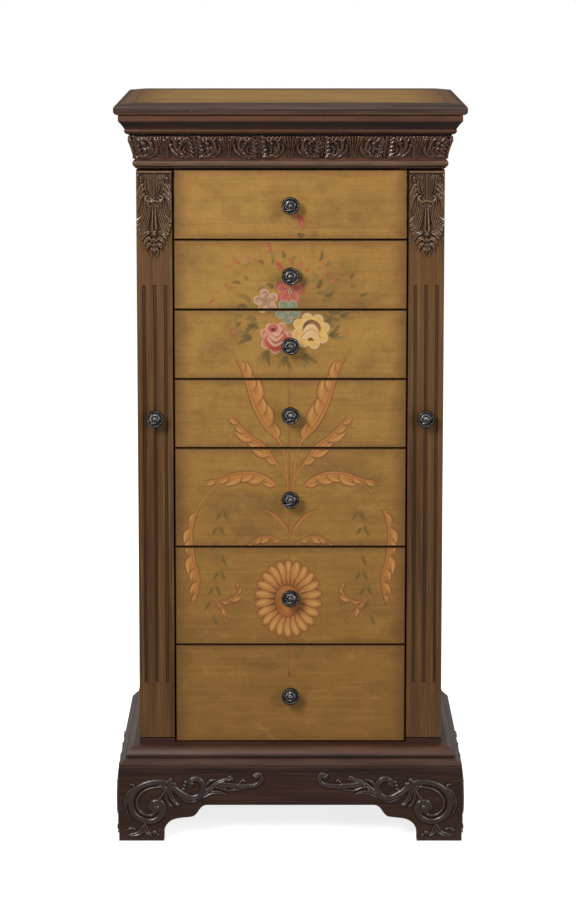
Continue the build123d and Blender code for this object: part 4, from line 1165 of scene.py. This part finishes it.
def frieze_strip(along):
    """Ground offset and carving height over a run of distances from a corner."""
    place = np.mod(along, frieze_pitch)
    height = np.array([np.interp(place, frieze_tile.x, row) for row in frieze_tile.height])
    share = frieze_tile.z / (frieze_top - frieze_foot)
    ground = np.interp(share, [0, 0.15, 0.45, 0.8, 1], [0.9, 0.7, 2.6, 6.0, 5.4])
    return ground[:, None] + height, height


def frieze_piece(name, along, place, flipped=False):
    """One side of the frieze. place turns a distance along it, an offset and a height into points."""
    offset, height = frieze_strip(along)
    z = frieze_tile.z[:, None] + frieze_foot
    front, back = place(along[None, :], offset, z), place(along[None, :], np.zeros(offset.shape), z)
    cells = np.ones((offset.shape[0] - 1, offset.shape[1] - 1), bool)
    tone = shade_and_highlight_tone(height)[..., None]
    if flipped:
        tone = tone[:, ::-1]
    piece = slab(name, front, back, cells, tone, frieze_wood, "carcass", "carved_wood")
    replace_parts(piece, "frieze_moulding")


FRIEZE_STEP = 0.8
depth_mm = back_mm - face_mm
front_run = np.linspace(0, 2 * half_mm, round(2 * half_mm / FRIEZE_STEP) + 1)
side_run = np.linspace(0, depth_mm, round(depth_mm / FRIEZE_STEP) + 1)


def on_front(share, offset, z):
    scale = (half_mm + offset) / half_mm
    return points((share - half_mm) * scale, face_mm - offset, z)


def on_right(share, offset, z):
    scale = (depth_mm + offset) / depth_mm
    return points(half_mm + offset, back_mm - (depth_mm - share) * scale, z)


def on_left(share, offset, z):
    return on_right(share, offset, z)[:, ::-1] * MIRROR


frieze_piece("frieze_front", front_run, on_front)
frieze_piece("frieze_right", side_run, on_right)
frieze_piece("frieze_left", side_run, on_left, flipped=True)


SCROLL_STROKES = (
    ((9.0, 10.5), (4.0, 4.4), 0.2, None, [(76, 80), (58, 84), (40, 82), (25, 74), (17, 60), (18, 45),
                                          (27, 33), (42, 28), (55, 33), (61, 44), (58, 54), (49, 55), (44, 48)]),
    ((3.4, 4.6), (3.0, 3.4), 0, None, [(64, 77), (47, 76), (33, 70), (25.5, 59), (26, 47), (34, 38.5),
                                       (44, 37), (51, 41)]),
    (6.0, 4.2, 0, 0.8, [(58, 64), (55, 58), (50, 54)]),
    (3.6, 3.6, 0, 0.8, [(64, 72), (60, 66), (57, 60)]),
    ((8.6, 5.4), (4.2, 3.6), 0.45, None, [(62, 82), (69, 72), (73, 61), (80, 53)]),
    ((5.6, 4.2), (3.4, 3.0), 0.4, None, [(56, 81), (64, 71), (66, 58), (72, 50)]),
    (8.0, 3.6, 0.45, 0.7, [(21, 76), (13, 65), (9.5, 52), (12, 41)]),
    (3.6, 3.6, 0, None, [(17, 71), (21, 79), (16, 81)]),
    (4.8, 4.2, 0, None, [(66, 83), (72, 88), (70, 82)]),
    ((10.8, 8.0), (4.2, 4.6), 0.22, None, [(70, 80), (84, 69), (98, 62), (111, 65), (117, 77), (110, 88),
                                           (100, 87), (97, 79)]),
    ((3.6, 3.0), (2.8, 2.8), 0, None, [(75, 72), (88, 60), (101, 56), (114, 61)]),
    ((9.4, 6.0), (4.0, 4.4), 0.3, None, [(110, 63), (124, 73), (137, 84), (154, 89)]),
    (8.0, 3.8, 0.4, 0.8, [(116, 67), (130, 78), (142, 76), (152, 70)]),
    (7.0, 3.2, 0.4, 0.8, [(114, 61), (126, 68), (139, 69), (150, 66)]),
    (5.4, 3.8, 0, 0.8, [(120, 80), (127, 86), (136, 88)]),
    (3.8, 4.2, 0, None, [(146, 86), (153, 92), (157, 88)]),
    ((9.6, 6.0), (4.2, 4.4), 0.22, None, [(138, 81), (156, 79), (173, 78), (188, 80), (196, 87), (193, 95),
                                          (186, 93)]),
    (3.8, 4.0, 0, None, [(164, 80), (170, 87), (173, 85)]),
    ((4.0, 2.2), (2.8, 1.8), 0, None, [(150, 72), (164, 73), (180, 75)]),
    (9.4, (4.0, 3.0), 0.45, 0.7, [(36, 25), (30, 13), (20, 9), (9, 9)]),
    (5.0, 3.2, 0, 0.8, [(24, 17), (16, 18), (9, 14)]),
    (9.0, 3.8, 0.45, 0.8, [(36, 25), (38, 14), (47, 7)]),
)
SCROLL_BALLS = (
    (50.5, 46, 7.8, 4.6), (80.5, 51.5, 4.4, 4.4), (99, 81, 5.6, 4.7), (189, 91, 4.8, 4.6),
    (92, 84, 3.0, 4.0), (90.5, 79, 3.0, 4.0), (89, 74, 3.0, 4.0), (49, 12, 4.2, 4.2), (54, 9, 2.6, 3.4),
)


def carve_scroll():
    """Plinth scrollwork. x runs inwards from the corner's edge and z up from the floor."""
    c = Relief(3, 204, 3, 101, 0.6)
    c.strokes(SCROLL_STROKES)
    for ball in SCROLL_BALLS:
        c.ball(*ball)
    return c


scroll = carve_scroll()
edge_x, edge_y = plinth_high.x / MM, plinth_low.y / MM


def scroll_on_front(x, z, height):
    return points(x - edge_x, edge_y - height, z)


def scroll_on_side(x, z, height):
    return points(edge_x + height, edge_y + x, z)


scroll_facts = (scroll_wood, "carcass", "plinth_carvings")
flat_piece("scroll_front_left", scroll, scroll_on_front, *scroll_facts)
flat_piece("scroll_front_right", scroll, scroll_on_front, *scroll_facts, flipped=True)
flat_piece("scroll_side_right", scroll, scroll_on_side, *scroll_facts)
flat_piece("scroll_side_left", scroll, scroll_on_side, *scroll_facts, flipped=True)


# ---------------------------------------------------------------- knob faces


def knob_height(radius, angle):
    """The knob's face above the disc it stands on: button, swirled petals and corded rim."""
    button = 2.9 * np.sqrt(np.clip(1 - (radius / 4.2) ** 2, 0, 1))
    button *= 1 + 0.10 * np.cos(8 * angle) * ease(radius, 1.0, 3.4)
    ring = 1.2 * (1 - ease(radius, 4.2, 8.4))
    turn = angle * 3 + radius * 0.55
    petal = 1.25 * np.abs(np.sin(turn)) ** 0.7 * ease(radius, 4.3, 5.2) * (1 - ease(radius, 7.6, 8.6))
    vein = -0.5 * (np.abs(np.sin(turn)) > 0.93) * ease(radius, 4.8, 5.4) * (1 - ease(radius, 7.2, 8.2))
    rim = 1.25 * ease(radius, 8.7, 9.4) * (1 - ease(radius, 10.7, 11.4))
    cord = 0.3 * np.cos(24 * angle + radius) * ease(radius, 9.2, 9.8) * (1 - ease(radius, 10.6, 11.2))
    return np.where(radius < 4.2, 1.2 + button, ring + petal + vein + rim + cord) + 0.08


KNOB_RIM = 11.4
KNOB_DISC = 4.1
KNOB_BACK = 6.0
KNOB_RINGS, KNOB_SPOKES = 30, 96


def knob_face(name, knob_node, body):
    """A closed disc of ornament let into the face of a turned knob."""
    centre = middle(knob_node) / MM
    crest = -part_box(knob_node)[0].y / MM
    radius = np.linspace(0.0, KNOB_RIM, KNOB_RINGS)[1:]
    angle = np.linspace(0, 2 * math.pi, KNOB_SPOKES, endpoint=False)
    r, a = np.meshgrid(radius, angle, indexing="ij")
    height = knob_height(r, a)
    top = crest - KNOB_DISC + height
    x, z = centre.x + r * np.cos(a), centre.z + r * np.sin(a)
    hub_top = crest - KNOB_DISC + float(knob_height(np.array(0.0), np.array(0.0)))
    back = crest - KNOB_BACK
    rows = [points(x[i], -top[i], z[i]) for i in range(KNOB_RINGS - 1)]
    rows.append(points(x[-1], np.full(KNOB_SPOKES, -back), z[-1]))
    rows += [points(centre.x, -level, centre.z)[None] for level in (hub_top, back)]
    verts = np.vstack(rows)
    hub, base = len(verts) - 2, len(verts) - 1
    last = (KNOB_RINGS - 1) * KNOB_SPOKES
    faces = []
    for j in range(KNOB_SPOKES):
        k = (j + 1) % KNOB_SPOKES
        faces.append((hub, j, k))
        for i in range(0, last, KNOB_SPOKES):
            faces.append((i + j, i + KNOB_SPOKES + j, i + KNOB_SPOKES + k, i + k))
        faces.append((last + j, base, last + k))
    mesh = bpy.data.meshes.new(name)
    mesh.from_pydata(verts.tolist(), [], faces)
    mesh.shade_smooth()
    mesh.set_sharp_from_angle(angle=math.radians(70))
    proud = np.clip((height - 0.3) / 1.6, 0, 1).ravel()
    proud = np.concatenate([proud, np.zeros(KNOB_SPOKES), [1.0, 0.0]])
    mesh.attributes.new("proud", "FLOAT", "POINT").data.foreach_set("value", proud.astype(np.float32))
    add_piece(name, mesh, knob_metal, body)


knob_metal = metal("knob_rosette", *IRON, 0.34, wear=0.75, attribute="proud")
for n in DRAWERS:
    knob_face(f"drawer_{n}_rosette", f"drawer_{n}_knob", f"drawer_{n}")
for side in SIDES:
    knob_face(f"door_{side}_rosette", f"door_{side}_knob", f"door_{side}")


# ---------------------------------------------------------------- ring rolls


def velvet_material(name):
    s = Shader(name)
    colour, pile = flocked(s, FLOCK_TINT, FLOCK_SHADE)
    return s.finish(colour, s.add(s.times(pile, 0.1), 0.85), s.bump(pile, 0.35, 0.0003), VELVET)


ROLL_LEAN = 0.93
ROLL_GAP = 0.0012
ROLL_FILL = 0.995
CLOTH_STEPS = 14
CLOTH_REACH = 0.0012


def soft_roll(half, radius, height):
    """A slightly lean roll, blown up by a cloth simulation and brought back as a mesh."""
    sections, around = 34, 24
    verts, faces = [], []
    for i in range(sections + 1):
        t = i / sections * 2 - 1
        pinch = 0.45 + 0.55 * (1 - abs(t) ** 7) ** 0.5
        for k in range(around):
            angle = 2 * math.pi * k / around
            c, s = math.cos(angle), math.sin(angle)
            y = radius * ROLL_LEAN * pinch * np.sign(c) * abs(c) ** 0.7
            z = height / 2 * (0.94 + 0.03 * pinch) * np.sign(s) * abs(s) ** 0.55
            verts.append((half * ROLL_LEAN * t, y, z))
    for i in range(0, sections * around, around):
        for k in range(around):
            m = (k + 1) % around
            faces.append((i + k, i + around + k, i + around + m, i + m))
    faces.append(list(range(around)))
    faces.append([sections * around + k for k in range(around)][::-1])
    mesh = bpy.data.meshes.new("roll_form")
    mesh.from_pydata(verts, [], faces)
    form = bpy.data.objects.new("roll_form", mesh)
    bpy.context.scene.collection.objects.link(form)
    bpy.context.view_layer.objects.active = form
    remesh = form.modifiers.new("remesh", "REMESH")
    remesh.mode = "VOXEL"
    remesh.voxel_size = 0.0032
    bpy.ops.object.modifier_apply(modifier=remesh.name)
    rest = np.array([v.co for v in form.data.vertices])
    cloth = form.modifiers.new("cloth", "CLOTH")
    cloth.settings.use_pressure = True
    cloth.settings.uniform_pressure_force = 4.0
    cloth.settings.effector_weights.gravity = 0.0
    cloth.settings.quality = 6
    for step in range(1, CLOTH_STEPS + 1):
        bpy.context.scene.frame_set(step)
    puffed = form.evaluated_get(bpy.context.evaluated_depsgraph_get())
    move = np.array([v.co for v in puffed.data.vertices]) - rest
    form.modifiers.remove(cloth)
    bpy.context.scene.frame_set(1)
    length = np.maximum(np.linalg.norm(move, axis=1, keepdims=True), 1e-9)
    settled = rest + move * np.minimum(1.0, CLOTH_REACH / length)
    form.data.vertices.foreach_set("co", settled.ravel())
    form.modifiers.new("soften", "SMOOTH").iterations = 3
    divide = form.modifiers.new("divide", "SUBSURF")
    divide.levels = divide.render_levels = 1
    shown = form.evaluated_get(bpy.context.evaluated_depsgraph_get())
    made = bpy.data.meshes.new_from_object(shown)
    bpy.data.objects.remove(form)
    return np.array([v.co for v in made.vertices]), [list(p.vertices) for p in made.polygons]


velvet = velvet_material("velvet")
rolls_low, rolls_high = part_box("ring_rolls")
roll_count = 8
roll_pitch = (rolls_high.y - rolls_low.y + ROLL_GAP) / roll_count
rolls_half = (rolls_high - rolls_low) / 2
roll_size = np.array([rolls_half.x, (roll_pitch - ROLL_GAP) / 2, rolls_half.z])
roll_verts, roll_faces = soft_roll(roll_size[0], roll_size[1], 2 * rolls_half.z)
fit = roll_size / np.abs(roll_verts).max(0) * ROLL_FILL
for i in range(roll_count):
    centre = np.array([0.0, rolls_low.y + roll_size[1] + i * roll_pitch, rolls_low.z + rolls_half.z])
    placed = roll_verts * fit
    if i % 2:
        wave = 1 + 0.012 * np.sin(roll_verts[:, 0] * 70 + 1.7 * i)
        placed[:, 1] *= 2 - wave**2
    placed[:, 1:] = np.clip(placed[:, 1:], -roll_size[1:], roll_size[1:])
    mesh = bpy.data.meshes.new(f"ring_roll_{i + 1}")
    mesh.from_pydata((placed + centre).tolist(), [], roll_faces)
    mesh.shade_smooth()
    roll = add_piece(f"ring_roll_{i + 1}", mesh, velvet, "carcass")
    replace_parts(roll, "ring_rolls")


# ---------------------------------------------------------------- floor, light and camera


def floor_material():
    """Pale studio paper, faintly lit through from behind so that it stays white."""
    s = Shader("studio_floor")
    mottle = s.noise(3.0, detail=4.0)
    colour = s.blend(s.span(mottle, 0.3, 0.7), linear(244, 244, 243), linear(248, 248, 247))
    glow = {"Emission Color": (1.0, 1.0, 1.0, 1.0), "Emission Strength": 0.80}
    return s.finish(colour, s.add(s.times(mottle, 0.1), 0.6), fixed=glow)


FLOOR_HALF = 9.0
corners = [(x * FLOOR_HALF, y * FLOOR_HALF, 0) for x, y in ((-1, -1), (1, -1), (1, 1), (-1, 1))]
floor_mesh = bpy.data.meshes.new("floor")
floor_mesh.from_pydata(corners, [], [(0, 1, 2, 3)])
floor_mesh.materials.append(floor_material())
floor = bpy.data.objects.new("floor", floor_mesh)
bpy.context.scene.collection.objects.link(floor)
floor.visible_diffuse = False
floor.visible_glossy = False

# The camera sees a white world, and the object is lit by a dimmer one
SKY = 0.23
world = bpy.data.worlds.new("studio")
world.use_nodes = True
sky_tree = world.node_tree
background = sky_tree.nodes["Background"].inputs
background["Color"].default_value = (1, 1, 1, 1)
seen = sky_tree.nodes.new("ShaderNodeLightPath").outputs["Is Camera Ray"]
strength = sky_tree.nodes.new("ShaderNodeMapRange")
strength.inputs["To Min"].default_value = SKY
strength.inputs["To Max"].default_value = 1.0
sky_tree.links.new(seen, strength.inputs["Value"])
sky_tree.links.new(strength.outputs[0], background["Strength"])
bpy.context.scene.world = world
bpy.context.scene.view_settings.view_transform = "Standard"


def area_light(name, place, target, size, power):
    lamp = bpy.data.lights.new(name, "AREA")
    lamp.shape = "RECTANGLE"
    lamp.size, lamp.size_y = size
    lamp.energy = power
    holder = bpy.data.objects.new(name, lamp)
    bpy.context.scene.collection.objects.link(holder)
    holder.location = place
    aim = holder.location.copy()
    aim.xyz = [t - p for t, p in zip(target, place)]
    holder.rotation_euler = aim.to_track_quat("-Z", "Y").to_euler()


chest = (0.0, 0.0, 0.6)
area_light("key", (-1.3, -2.5, 2.2), chest, (0.8, 1.1), 66)
area_light("fill", (1.9, -2.3, 1.5), chest, (0.9, 1.2), 28)
area_light("rim", (0.2, 0.6, 2.6), (0, 0, 1.0), (1.2, 0.8), 3)
area_light("back_left", (-1.9, 2.4, 2.3), chest, (1.0, 1.2), 26)
area_light("back_right", (1.9, 2.4, 2.3), chest, (1.0, 1.2), 18)

camera_data = bpy.data.cameras.new("camera")
camera = bpy.data.objects.new("camera", camera_data)
bpy.context.scene.collection.objects.link(camera)
camera.location = (-0.0033, -3.8, 1.2572)
camera.rotation_euler = (math.pi / 2 - 0.1272, 0.0, 0.0)
camera_data.sensor_width = 36.0
camera_data.lens = 107.25
camera_data.shift_y = -0.205
camera_data.clip_start, camera_data.clip_end = 0.05, 60.0
bpy.context.scene.camera = camera
